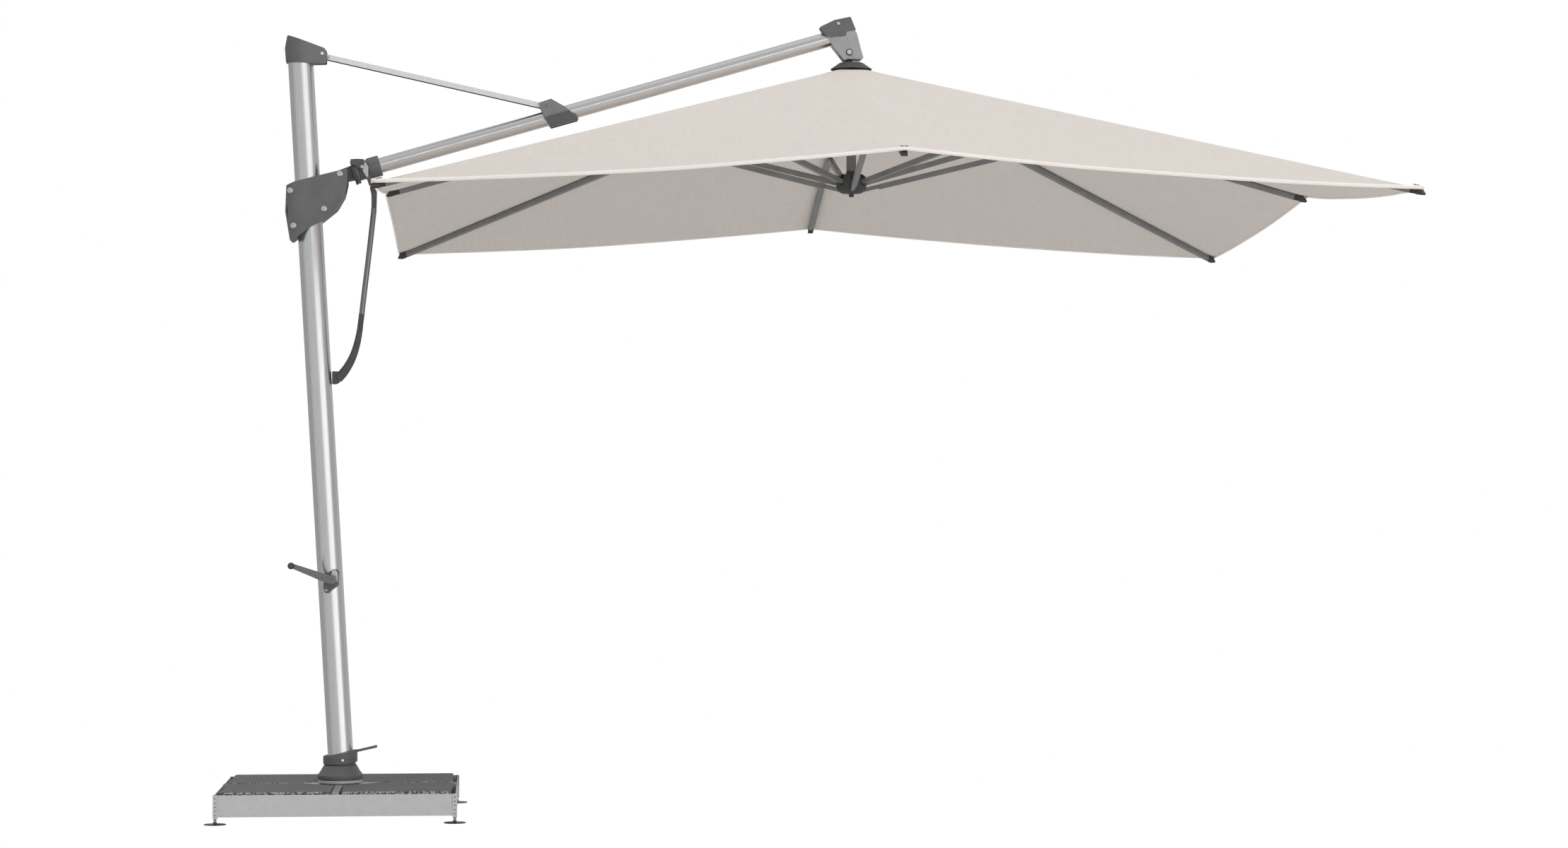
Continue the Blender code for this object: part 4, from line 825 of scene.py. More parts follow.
sleeve_profile = softened([
    (0.0180, 0.0788), (0.0430, 0.0788), (0.0450, 0.0800), (0.0450, 0.0826), (0.0438, 0.0832), (0.0438, 0.0842),
    (0.0450, 0.0848), (0.0450, 0.0876), (0.0435, 0.0888), (0.0352, 0.0890), (0.0345, 0.0900), (0.0345, 0.1262),
    (0.0380, 0.1285), (0.0386, 0.1300), (0.0388, 0.1725), (0.0372, 0.1745), (0.0290, 0.1745)], 0.0006)
sleeve = lathe(sleeve_profile + [(0.0288, 0.1500), (0.0180, 0.1500)], 128)
add_piece("tilt_joint_sleeve", sleeve, "upper_arm", CAST, ARM_TURNED, replaces="tilt_sleeve")
for k in range(8):  # flat keys along the sleeve
    turn = Matrix.Rotation(math.radians(45 * k + 22.5), 4, "X")
    key = block((0.1305, -0.0035, 0.0372), (0.1715, 0.0035, 0.0402))
    add_piece(f"sleeve_key_{k + 1}", key, "upper_arm", CAST, ARM_FRAME @ turn, bevel=0.0008)
for k in range(24):  # teeth round the fixed ring of the tilt joint
    turn = Matrix.Rotation(math.radians(15 * k), 4, "X")
    tooth = block((0.0690, -0.0022, 0.0440), (0.0780, 0.0022, 0.0458))
    add_piece(f"ring_tooth_{k + 1:02d}", tooth, "arm", CAST_DARK, ARM_FRAME @ turn, bevel=0.0005)

# arm head: a forked body, slotted round the crown's lug and bored for the tube
LUG_R, LUG_END = 0.0158, math.radians(128)
head_outline = local_outline(ARM_FRAME, [
    (1.799, 2.953), (1.852, 2.978), (1.912, 2.991), (1.928, 2.954), (1.938, 2.916),
    (1.962, 2.838), (1.953, 2.8305), (1.902, 2.8325), (1.8895, 2.8270), (1.843, 2.886)])
head_radii = [0.003, 0.012, 0.010, 0.012, 0.012, 0.004, 0.004, 0.004, 0.006, 0.003]
lug_x, lug_z = 1.908, 2.858
slot_outline = [(lug_x + LUG_R, 2.78), (lug_x + LUG_R, lug_z)]
slot_outline += arc(lug_x, lug_z, LUG_R, 12, math.radians(12), LUG_END)
slot_outline += [
    (lug_x + LUG_R * math.cos(LUG_END) - 0.155, lug_z + LUG_R * math.sin(LUG_END) - 0.121), (1.78, 2.70)]
head_slot = prism(local_outline(ARM_FRAME, slot_outline), -0.0150, 0.0150)
socket = cylinder(ARM_R + 0.0003, 1.8, ARM_END + 0.0005, segs=96, place=ALONG_X)
head = carve(prism(rounded(head_outline, head_radii, 5), -0.0345, 0.0345), [head_slot, socket])
# the head's body and cheek plates carry painted highlight in a paler copy of the anthracite paint
add_piece("head_body", head, "upper_arm", CAST_HEAD_LIT, ARM_FRAME, replaces="arm_head", bevel=0.0016, segs=3)

# hood over the tube end, standing proud of the body below it
hood_outline = local_outline(ARM_FRAME, [
    (1.7985, 2.9535), (1.852, 2.9795), (1.9128, 2.9925), (1.9335, 2.9425), (1.8985, 2.9360),
    (1.8960, 2.9215), (1.8835, 2.9175), (1.8520, 2.9160), (1.8420, 2.9120), (1.8225, 2.9165)])
hood_radii = [0.0008, 0.010, 0.004, 0.002, 0.003, 0.003, 0.003, 0.004, 0.003, 0.002]
hood = carve(prism(rounded(hood_outline, hood_radii, 4), -0.0362, 0.0362), [socket])
add_piece("head_hood", hood, "upper_arm", CAST, ARM_FRAME, bevel=0.0012, segs=3)

# thin raised plates on the cheeks, with their bolts
cheek_outline = rounded(
    [(1.8955, 2.9300), (1.9355, 2.9350), (1.9600, 2.8405), (1.9510, 2.8330), (1.9220, 2.8335)],
    [0.002, 0.002, 0.004, 0.004, 0.002], 3)
washer_profile = [(0.0060, 0.0), (0.0128, 0.0), (0.0128, 0.0008), (0.0120, 0.0013), (0.0060, 0.0013)]
for s, side in SIDES:
    out = (0, s, 0)
    cheek = side_plate(local_outline(ARM_FRAME, cheek_outline), s, 0.0340, 0.0356)
    add_piece("head_cheek_" + side, cheek, "upper_arm", CAST_HEAD_LIT, ARM_FRAME, bevel=0.0009)
    bolt_head("hood_screw_" + side, (1.8665, s * 0.0360, 2.9665), out, 0.0068, 0.0030, "upper_arm")
    bolt_head("head_bolt_" + side, (HEAD_PIN.x, s * 0.0358, HEAD_PIN.z), out, 0.0090, 0.0040, "upper_arm")
    place = facing((HEAD_PIN.x, s * 0.0354, HEAD_PIN.z), out)
    add_piece("head_washer_" + side, lathe(washer_profile, 48), "upper_arm", CAST_DARK, place)
dress("head_pin", STEEL, bevel=0.0005)
HANDLE_AXLE = Matrix.Translation(HANDLE_PIN) @ ALONG_Y
add_piece("handle_shank", cylinder(0.0041, -0.0505, 0.0505, 32), "upper_arm", STEEL, HANDLE_AXLE,
          replaces="handle_pin")

# ================================================================ handle
yoke_side = [
    (0.0356, 2.4384), (0.0600, 2.4402), (0.0843, 2.4393), (0.0889, 2.4313), (0.0960, 2.4130), (0.1027, 2.3971),
    (0.1100, 2.3710), (0.1157, 2.3490), (0.1240, 2.3340), (0.1323, 2.3232), (0.1320, 2.2850), (0.1305, 2.2417),
    (0.1121, 2.2416), (0.1125, 2.2850), (0.1120, 2.3120), (0.1060, 2.3380), (0.0973, 2.3638), (0.0865, 2.3860),
    (0.0715, 2.4025), (0.0531, 2.4172), (0.0365, 2.4208)]
fork_gap = [(0.00, 2.48), (0.18, 2.48), (0.18, 2.3450), (0.1320, 2.3350), (0.1080, 2.3350), (0.00, 2.3450)]
taper_outline = [  # (height, distance from the XZ plane): what is cut off each side below the fork
    (2.20, 0.0080), (2.2600, 0.0080), (2.3000, 0.0130), (2.3300, 0.0330), (2.3560, 0.0520), (2.3560, 0.08), (2.20, 0.08)]
yoke = prism(yoke_side, -0.0520, 0.0520)
cutters = [prism(fork_gap, -0.0458, 0.0458)]
for s in (-1, 1):
    taper = prism([(z, s * y) for z, y in taper_outline], -0.1, 0.3)
    taper.transform(Matrix(((0, 1, 0, 0), (0, 0, 1, 0), (1, 0, 0, 0), (0, 0, 0, 1))))
    cutters.append(taper)
cutters.append(cylinder(0.0043, -0.1, 0.1, 32, HANDLE_AXLE))
add_piece("handle_yoke", carve(yoke, cutters), "handle", GRIP, replaces="handle_tube",
          bevel=0.0012, segs=3)

rod_path = spline([
    (0.1213, 2.2600), (0.1206, 2.2425), (0.1180, 2.2200), (0.1110, 2.1550),
    (0.0990, 2.0500), (0.0870, 1.9500), (0.0762, 1.8550)], 5)
rod = sweep(rod_path, [0.0103] * len(rod_path), 40)
add_piece("handle_rod", rod, "handle", ROD_COAT)

GRIP_TOP_R, GRIP_END_R = 0.0106, 0.0182
grip_path = spline([
    (0.0768, 1.8640), (0.0757, 1.8520), (0.0732, 1.8330), (0.0688, 1.7980), (0.0605, 1.7560),
    (0.0480, 1.7140), (0.0310, 1.6770), (0.0100, 1.6450), (-0.0100, 1.6235)], 6)
grip_radii = []
for i in range(len(grip_path)):
    swell = max(0.0, (i / (len(grip_path) - 1) - 0.30) / 0.70) ** 1.2  # starts at 30 % of the length
    grip_radii.append(GRIP_TOP_R + (GRIP_END_R - GRIP_TOP_R) * swell)
add_piece("grip_body", sweep(grip_path, grip_radii, 40), "handle", GRIP, replaces="handle_grip")
rest_outline = rounded([
    (-0.0325, 1.6490), (-0.0325, 1.6010), (-0.0190, 1.6000),
    (-0.0080, 1.6045), (0.0040, 1.6180), (-0.0060, 1.6480)], 0.003, 4)
add_piece("grip_rest", prism(rest_outline, -0.0120, 0.0120), "handle", GRIP, bevel=0.0022, segs=3)

# pale plates on the yoke's sides: a painted highlight band
yoke_highlight_outline = rounded([
    (0.0893, 2.4324), (0.1025, 2.4108), (0.1015, 2.3700),
    (0.0932, 2.3768), (0.0819, 2.3956), (0.0856, 2.4144)], 0.001, 3)
for s, side in SIDES:
    add_piece("yoke_highlight_plate_" + side, side_plate(yoke_highlight_outline, s, 0.0515, 0.0526), "handle", YOKE_HIGHLIGHT_PAINT,
              bevel=0.0004)
for s, side in SIDES:
    at = (HANDLE_PIN.x, s * 0.0518, HANDLE_PIN.z)
    bolt_head("yoke_bolt_" + side, at, (0, s, 0), 0.0072, 0.0032, "handle")

# ================================================================ carriage
SHELL_HALF, SHELL_SEAM = 0.065, 0.0003
# plan of a shell half: (distance behind the mast axis, half width)
CHEEK_BACK, FACET_NEAR, FACET_FAR = (0.0560, 0.0632), (0.0640, 0.0590), (0.095, 0.0360)
shell_outline = rounded(local_outline(CARRIAGE_FRAME, [
    (-0.2015, 2.3400), (-0.1690, 2.3540), (0.0245, 2.4035), (0.0250, 2.3500), (0.0150, 2.3020), (-0.0140, 2.2520),
    (-0.0680, 2.2080), (-0.1140, 2.1840), (-0.1790, 2.1320), (-0.1880, 2.1350), (-0.2060, 2.2430)]),
    [0.004, 0.015, 0.006, 0.03, 0.03, 0.045, 0.04, 0.02, 0.004, 0.006, 0.02], 7)
axis_x = -local(MAST_FRAME, ARM_PIVOT.x, ARM_PIVOT.z)[0]  # mast axis in the carriage's frame
carriage_bore = cylinder(MAST_R + 0.0012, -0.4, 0.4, 96, Matrix.Translation((axis_x, 0, 0)))
cavity = prism(local_outline(CARRIAGE_FRAME, [
    (-0.1955, 2.3330), (-0.1660, 2.3440), (-0.0700, 2.3690), (-0.0400, 2.3850), (-0.0400, 2.43),
    (0.06, 2.43), (0.06, 2.3330), (-0.0080, 2.2960), (-0.0220, 2.2600), (-0.0720, 2.2160),
    (-0.1160, 2.1920), (-0.1740, 2.1430), (-0.1820, 2.1430), (-0.2000, 2.2430)]), -0.049, 0.049)
for s, side in SIDES:
    # a flat cheek, then a facet that turns in towards the back of the mast
    plan = [(axis_x - FACET_FAR[0], s * 0.0002)]
    for behind, half in (FACET_FAR, FACET_NEAR, CHEEK_BACK, (0.0460, SHELL_HALF)):
        plan.append((axis_x - behind, s * half))
    plan += [(0.10, s * SHELL_HALF), (0.10, s * 0.0002)]
    plan_body = upright_prism(plan, -0.35, 0.15)
    shell = carve(side_plate(shell_outline, s, SHELL_SEAM, SHELL_HALF), [plan_body], "INTERSECT")
    shell = carve(shell, [cavity, carriage_bore])
    add_piece("carriage_" + side, shell, "carriage", CAST, CARRIAGE_FRAME,
              replaces="carriage_shell_" + side, bevel=0.0020, segs=3)

facet_run = FACET_FAR[0] - FACET_NEAR[0]
facet_drop = FACET_NEAR[1] - FACET_FAR[1]
carriage_bolts = (  # name, CAD node, place
    ("upper", "carriage_bolt_upper", (-0.1865, 2.319)),
    ("middle", "carriage_bolt_middle", (-0.061, 2.2515)),
    ("lower", "carriage_bolt_lower", (-0.174, 2.188)),
    ("arm", "arm_pivot_pin", (-0.003, 2.382)))
for label, node, (x, z) in carriage_bolts:
    if label == "arm":
        dress(node, STEEL, bevel=0.0)
    offset = local(CARRIAGE_FRAME, x, z)[0] - axis_x
    for s, side in SIDES:
        y, normal = SHELL_HALF, Vector((0, s, 0))
        if offset < -CHEEK_BACK[0]:  # on the turned-in facet
            y = FACET_NEAR[1] + (offset + FACET_NEAR[0]) / facet_run * facet_drop
            normal = Vector((-facet_drop / facet_run, s, 0)).normalized()
            normal = Matrix.Rotation(-MAST_LEAN, 3, "Y") @ normal
            normal = Vector((normal.x * 0.30, normal.y, normal.z * 0.30))  # heads turn in only partly
        at = (x, s * (y - 0.0006), z)
        head = bolt_head(f"carriage_{label}_head_{side}", at, normal, 0.0122, 0.0044, "carriage")
        if label != "arm":
            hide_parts(node)
for node in ("glide_shoe_left", "glide_shoe_right"):
    dress(node, PLASTIC, bevel=0.0006)

# ================================================================ crank
dress("crank_arm", CAST_CRANK, bevel=0.0016, segs=3)
bolt_head("crank_screw", (CRANK_AXIS.x, -0.1046, CRANK_AXIS.z), (0, -1, 0), 0.0056, 0.0030, "crank", CAST_CRANK)
knob_profile = [
    (0.0042, 0.0005), (0.0080, 0.0005), (0.0105, 0.0030), (0.0122, 0.0120),
    (0.0126, 0.0250), (0.0112, 0.0360), (0.0075, 0.0412), (0.0042, 0.0420)]
knob_at = (CRANK_AXIS.x - 0.149, -0.105, CRANK_AXIS.z + 0.051)
knob_place = Matrix.Translation(knob_at) @ Matrix.Rotation(math.pi / 2, 4, "X")
add_piece("knob_body", lathe(softened(knob_profile, 0.0012), 64), "knob", PLASTIC, knob_place,
          replaces="crank_knob")

# ================================================================ crown and runner
dress("crown_hub", CAST_DARK, bevel=0.0010)
cover_profile = [
    (0.0290, 2.8165), (0.0420, 2.8165), (0.0740, 2.7950), (0.0780, 2.7946), (0.0786, 2.7972),
    (0.0560, 2.8125), (0.0535, 2.8150), (0.0450, 2.8200), (0.0410, 2.8215), (0.0290, 2.8215)]
add_piece("cover_body", lathe(softened(cover_profile, 0.0008), 128), "crown", CAST_DARK, CANOPY_FRAME,
          replaces="crown_cover")
tube_profile = [(0.0160, 2.4095), (0.0187, 2.4095), (0.0187, 2.7175), (0.0160, 2.7175)]
add_piece("centre_tube", lathe(tube_profile, 96), "crown", TUBE_PAINT, CANOPY_FRAME,
          replaces="guide_tube")
runner_profile = [
    (0.0, 2.4221), (0.0150, 2.4221), (0.0150, 2.4088), (0.0200, 2.4080), (0.0208, 2.3988), (0.0430, 2.3978),
    (0.0530, 2.3910), (0.0578, 2.3810), (0.0585, 2.3600), (0.0560, 2.3440), (0.0480, 2.3325), (0.0370, 2.3262),
    (0.0120, 2.3238), (0.0095, 2.3215), (0.0095, 2.3125), (0.0, 2.3125)]
stretcher_slots = []
for i in range(8):
    floor_z = 2.3290 if i % 2 == 0 else 2.3555
    stretcher_slots.append(block((0.0300, -0.0077, floor_z), (0.0900, 0.0077, 2.4300), rot_z(math.radians(45 * i))))
runner = carve(lathe(softened(runner_profile, 0.0010), 160), stretcher_slots)
add_piece("runner_body", runner, "runner", CAST_DARK, CANOPY_FRAME, replaces="runner_hub", bevel=0.0012, segs=3)

# ================================================================ ribs and stretchers
RIB_ANGLE = math.atan(RIB_SLOPE)
JOINT_X = (JOINT_R - HINGE_R) / math.cos(RIB_ANGLE)  # along the rib, from its hinge
TIP_SETBACK = 0.030

# out and across are unit vectors along and across the rib; place, joint and end are frames with
# X outwards: at the hinge, at the stretcher joint and at the end of the rib's centre line
Rib = namedtuple("Rib", "number body corner azimuth out across hinge place joint end end_x slope")


def rib_layout(index):
    """Odd ribs run to the corners of the square, even ones to the middles of its sides."""
    corner = index % 2 == 1
    azimuth = math.radians(45 * index)
    tip_r, tip_z = CORNER_TIP if corner else MID_TIP
    out = Vector((math.cos(azimuth), math.sin(azimuth), 0))
    across = Vector((-math.sin(azimuth), math.cos(azimuth), 0))
    hinge = Vector((CANOPY_X, 0, CORNER_HINGE_Z if corner else MID_HINGE_Z)) + out * HINGE_R
    place = Matrix.Translation(hinge) @ rot_z(azimuth) @ rot_y(RIB_ANGLE)
    end_z = tip_z + TIP_SETBACK * (RIB_SLOPE if corner else MID_END_SLOPE)
    tip = place.inverted() @ (Vector((CANOPY_X, 0, end_z)) + out * (tip_r - TIP_SETBACK))
    slope = (tip.z - RIB_LIFT) / (tip.x - JOINT_X)
    end = place @ Matrix.Translation((tip.x, 0, tip.z)) @ rot_y(-math.atan(slope))
    joint = place @ Matrix.Translation((JOINT_X, 0, 0))
    return Rib(index + 1, f"rib_{index + 1}", corner, azimuth, out, across, hinge, place, joint, end, tip.x, slope)


def add_skins(rib):
    """Outer skins of the rib and stretcher profiles, clear of the forked joint."""
    n = rib.number
    dress(rib.body, RIB_PAINT, bevel=0.0014)
    dress(f"stretcher_{n}", RIB_PAINT, bevel=0.0014)
    top, bottom, half = 0.0062, -0.0122, 0.0115
    for part, start, stop in (("inner", 0.0600, JOINT_X - 0.0440), ("outer", JOINT_X + 0.0340, rib.end_x - 0.0255)):
        z_start, z_stop = (RIB_LIFT + rib.slope * (x - JOINT_X) for x in (start, stop))
        outline = [(start, z_start + top), (stop, z_stop + top), (stop, z_stop + bottom), (start, z_start + bottom)]
        add_piece(f"rib_{part}_skin_{n}", prism(outline, -half, half), rib.body, RIB_PAINT, rib.place,
                  bevel=0.0026, segs=3)
    near = -JOINT_X + (0.0370 if rib.corner else 0.0640)  # clear of the runner when closed
    outline = [(near, 0.0080), (-0.0240, 0.0080), (-0.0240, -0.0120), (near, -0.0120)]
    add_piece(f"stretcher_skin_{n}", prism(outline, -0.0100, 0.0100), f"stretcher_{n}", RIB_PAINT,
              rib.joint @ rot_y(-2 * RIB_ANGLE), bevel=0.0024, segs=3)


cap_outline = rounded([
    (-0.0220, 0.0104), (0.0080, 0.0100), (0.0175, 0.0035), (0.0262, -0.0052),
    (0.0240, -0.0102), (0.0060, -0.0122), (-0.0050, -0.0112), (-0.0220, -0.0106)],
    [0.001, 0.004, 0.01, 0.0025, 0.003, 0.006, 0.004, 0.001], 4)
cap_collar_outline = rounded([(-0.0250, 0.0112), (-0.0185, 0.0112), (-0.0185, -0.0118), (-0.0250, -0.0118)], 0.001, 2)
ear_outline = rounded([
    (-0.026, 0.0215), (0.026, 0.0215), (0.017, 0.0020), (0.0085, -0.0090), (-0.0085, -0.0090), (-0.017, 0.0020)],
    [0.003, 0.003, 0.006, 0.006, 0.006, 0.006], 4)
pin_profile = [(0.0, 0.0), (0.0048, 0.0), (0.0048, 0.0008), (0.0034, 0.0020), (0.0, 0.0024)]


def add_fittings(rib):
    """End cap with its collar, then ears and pin heads of the joint."""
    n = rib.number
    add_piece(f"rib_cap_{n}", prism(cap_outline, -0.0105, 0.0105), rib.body, PLASTIC, rib.end,
              bevel=0.0018, segs=3)
    add_piece(f"rib_cap_collar_{n}", prism(cap_collar_outline, -0.0113, 0.0113), rib.body, PLASTIC, rib.end,
              bevel=0.0010)
    for s, label in ((-1, "a"), (1, "b")):
        ear = side_plate(ear_outline, s, 0.0086, 0.0100)
        add_piece(f"rib_ear_{n}_{label}", ear, rib.body, CAST_DARK, rib.joint, bevel=0.0005)
        turn = Matrix.Rotation(-s * math.pi / 2, 4, "X")
        pin_place = rib.joint @ Matrix.Translation((0, s * 0.0099, 0)) @ turn
        add_piece(f"rib_pin_{n}_{label}", lathe(pin_profile, 32), rib.body, STEEL, pin_place)


RIBS = [rib_layout(i) for i in range(8)]
for rib in RIBS:
    add_skins(rib)
for rib in RIBS:
    add_fittings(rib)

# ================================================================ canopy
# A gore g (0 to 7) spans from rib g to rib g + 1. share runs 0 to 1 between those ribs,
# fall runs 0 to 1 from the crown to the hem.
CLOTH_T = 0.0009
CLOTH_LIFT = 0.0014  # the cloth rides on top of the ribs
HEM_LIFT = 0.0055
HEM_SAG = 0.018
HEM_BOW = 0.006  # how far each hem curves in, in plan
HEM_FLARE = 0.965  # fall at which the cloth lifts into the hem
CORNER_ROUND, CORNER_CUT = 0.030, 0.0095  # length of the rounding along the hem, and its depth
PATCH_R, PATCH_T = 0.150, 0.0010  # doubled cloth at the crown


def rim_of(rib_index):
    return CORNER_RIM if rib_index % 2 == 1 else MID_RIM


def corner_share(gore, share):
    """Share measured from the gore's corner rib."""
    return share if gore % 2 == 1 else 1 - share


def bow_of(share):
    """0 at both ribs, 1 halfway."""
    return 4 * share * (1 - share)


def hem_point(gore, share):
    """Centre line of the hem about the canopy axis, before it sags."""
    ends = []
    for j in (gore, gore + 1):
        r, z = rim_of(j)
        r -= 0.0065 if j % 2 == 1 else 0.003
        a = math.radians(45 * j)
        ends.append(Vector((r * math.cos(a), r * math.sin(a), z + HEM_LIFT)))
    point = ends[0].lerp(ends[1], share)
    middle = (ends[0] + ends[1]) / 2
    inward = Vector((-middle.x, -middle.y, 0)).normalized()
    normal = (ends[1] - ends[0]).cross(Vector((0, 0, 1))).normalized()
    if normal.dot(inward) < 0:
        normal.negate()
    point += normal * (HEM_BOW * bow_of(share))
    distance = corner_share(gore, share) * (ends[1] - ends[0]).length
    if distance < CORNER_ROUND:
        pull = (1 - distance / CORNER_ROUND) ** 2
        corner = ends[0] if gore % 2 == 1 else ends[1]
        point -= Vector((corner.x, corner.y, 0)).normalized() * (CORNER_CUT * pull)
    return point


def ripple(gore, share, fall):
    """Slight pull lines: fans near each corner, a soft waver, and gathers near the crown."""
    bow = bow_of(share)
    near = corner_share(gore, share)
    reach = math.exp(-((near - 0.16) / 0.11) ** 2)
    fan = bow * math.sin(near * 52.0 + 0.6 * gore) * reach * max(0.0, fall - 0.55) ** 1.5
    waver = noise.noise(Vector((3.1 * share + 5.3 * gore, 2.0 * fall, 0.7))) * bow * fall
    gather = math.sin(share * math.pi * 6.0) * bow * math.exp(-((fall - 0.10) / 0.08) ** 2)
    return 0.0022 * fan + 0.0035 * waver + 0.0012 * gather


def crown_z(rib_index):
    r, z = rim_of(rib_index)
    return APEX_Z - (APEX_Z - z) / r * CROWN_R


def sheet_point(gore, share, fall):
    """Upper face of the cloth."""
    hem = hem_point(gore, share)
    a = math.atan2(hem.y, hem.x)
    z_a, z_b = crown_z(gore), crown_z(gore + 1)
    inner_z = z_a + (z_b - z_a) * share + CLOTH_LIFT
    p = Vector((CROWN_R * math.cos(a), CROWN_R * math.sin(a), inner_z)).lerp(hem, fall)
    # straight to the rim, then the lift into the hem, then the sag between ribs
    p.z -= HEM_LIFT * (fall - max(0.0, (fall - HEM_FLARE) / 0.035) ** 2)
    p.z += CLOTH_LIFT * fall
    p.z -= bow_of(share) * (HEM_SAG * fall ** 3 + 0.007 * math.sin(math.pi * fall))
    p.z += ripple(gore, share, fall)
    r = math.hypot(p.x, p.y)
    if r < PATCH_R:
        p.z += PATCH_T * min(1.0, (PATCH_R - r) / 0.004)
    return p + Vector((CANOPY_X, 0, 0))


def sheet_normal(gore, share, fall):
    step = 1e-3
    down = sheet_point(gore, share, min(1, fall + step)) - sheet_point(gore, share, max(0, fall - step))
    along = sheet_point(gore, min(1, share + step), fall) - sheet_point(gore, max(0, share - step), fall)
    normal = down.cross(along).normalized()
    if normal.z < 0:
        normal.negate()
    return normal


SHARES = [0.5 * (k / 13) ** 1.45 for k in range(14)]  # closer near the rib, for a crisp crease
FALLS = [0.0, 0.02, 0.04, 0.047, 0.0492, 0.0515, 0.06, 0.08]
FALLS += [0.10 + 0.86 * k / 26 for k in range(27)]
FALLS += [0.970, 0.980, 0.988, 0.994, 1.0]


def side_uv(p, quadrant):
    """Metres along the hem and down the slope for the side panel that faces this quadrant."""
    a = math.radians(90 * quadrant)
    x = (p.x - CANOPY_X) * math.cos(a) + p.y * math.sin(a)
    y = -(p.x - CANOPY_X) * math.sin(a) + p.y * math.cos(a)
    return (y + 3.0 * quadrant, math.hypot(x, APEX_Z - p.z) + 0.37 * quadrant)


def canopy_piece(index):
    """The cloth of one rib: half of the gore on each side, as one thin closed shell."""
    columns = [((index - 1) % 8, 1 - s) for s in reversed(SHARES[1:])] + [(index, s) for s in SHARES]
    bm = bmesh.new()
    uv = bm.loops.layers.uv.new("weave")
    upper, lower = [], []
    for gore, share in columns:
        top, low = [], []
        for fall in FALLS:
            p = sheet_point(gore, share, fall)
            top.append(bm.verts.new(p))
            low.append(bm.verts.new(p - sheet_normal(gore, share, fall) * CLOTH_T))
        upper.append(top)
        lower.append(low)
    last_col, last_row = len(columns) - 1, len(FALLS) - 1
    rib_col = len(SHARES) - 1

    def add_face(verts, column):
        if index % 2 == 0:
            quadrant = (index // 2) % 4
        else:  # a corner rib parts two side panels
            quadrant = ((index - 1) // 2) % 4 if column < rib_col else ((index + 1) // 2) % 4
        for loop in bm.faces.new(verts).loops:
            loop[uv].uv = side_uv(loop.vert.co, quadrant)

    for c in range(last_col):
        for k in range(last_row):
            add_face([upper[c][k], upper[c][k + 1], upper[c + 1][k + 1], upper[c + 1][k]], c)
            add_face([lower[c][k], lower[c + 1][k], lower[c + 1][k + 1], lower[c][k + 1]], c)
        for k in (0, last_row):
            add_face([upper[c][k], upper[c + 1][k], lower[c + 1][k], lower[c][k]], c)
    for c in (0, last_col):
        for k in range(last_row):
            add_face([upper[c][k], lower[c][k], lower[c][k + 1], upper[c][k + 1]], min(c, last_col - 1))
    return mesh_of(bm, "canopy")


def hem_path(index):
    """(gore, share) stations from halfway before the rib to halfway after it."""
    n = 26
    before = (index - 1) % 8
    if index % 2 == 0:
        return [(before, 0.5 + 0.5 * k / n) for k in range(n + 1)] + [(index, 0.5 * k / n) for k in range(1, n + 1)]
    fine = [0.0008, 0.002, 0.004, 0.007, 0.010, 0.014, 0.018, 0.024, 0.030]  # round the corner
    path = [(before, 1 - s) for s in [0.5 - 0.47 * k / n for k in range(n)] + fine[::-1]]
    return path + [(index, s) for s in [0.0] + fine + [0.03 + 0.47 * (k + 1) / n for k in range(n)]]


def hem_piece(index):
    """Rolled hem: a flattened cord along the rim, round outside and flatter inside."""
    outer, inner, height = 0.0042, 0.0030, 0.0062
    segs = 20
    points = []
    for gore, share in hem_path(index):
        drop = -bow_of(share) * HEM_SAG + ripple(gore, share, 1.0)
        points.append(hem_point(gore, share) + Vector((CANOPY_X, 0, drop)))
    bm = bmesh.new()
    uv = bm.loops.layers.uv.new("weave")
    rings, lengths = [], []
    run = 0.0
    up = Vector((0, 0, 1))
    for j, p in enumerate(points):
        if j:
            run += (points[j] - points[j - 1]).length
        lengths.append(run)
        tangent = (points[min(j + 1, len(points) - 1)] - points[max(j - 1, 0)]).normalized()
        outward = tangent.cross(up)
        if outward.dot(Vector((p.x - CANOPY_X, p.y, 0))) < 0:
            outward.negate()
        outward.normalize()
        row = []
        for k in range(segs):
            u, v, _ = ring_point(1.0, k, segs)
            wide = (outer if u > 0 else inner) * u
            high = height * v * (1.0 if v < 0 else 1.06) + 0.0002
            row.append(bm.verts.new(p + outward * wide + up * high))
        rings.append(row)
    for j in range(len(rings) - 1):
        a, b = rings[j], rings[j + 1]
        for k in range(segs):
            face = bm.faces.new([a[k], a[(k + 1) % segs], b[(k + 1) % segs], b[k]])
            for loop, (jj, kk) in zip(face.loops, ((j, k), (j, k + 1), (j + 1, k + 1), (j + 1, k))):
                loop[uv].uv = (lengths[jj], kk * 0.0018)
    bm.faces.new(rings[0])
    bm.faces.new(rings[-1][::-1])
    return mesh_of(bm, "hem")


rivet_profile = [(0.0, 0.0), (0.0030, 0.0), (0.0030, 0.0007), (0.0018, 0.0017), (0.0, 0.0020)]


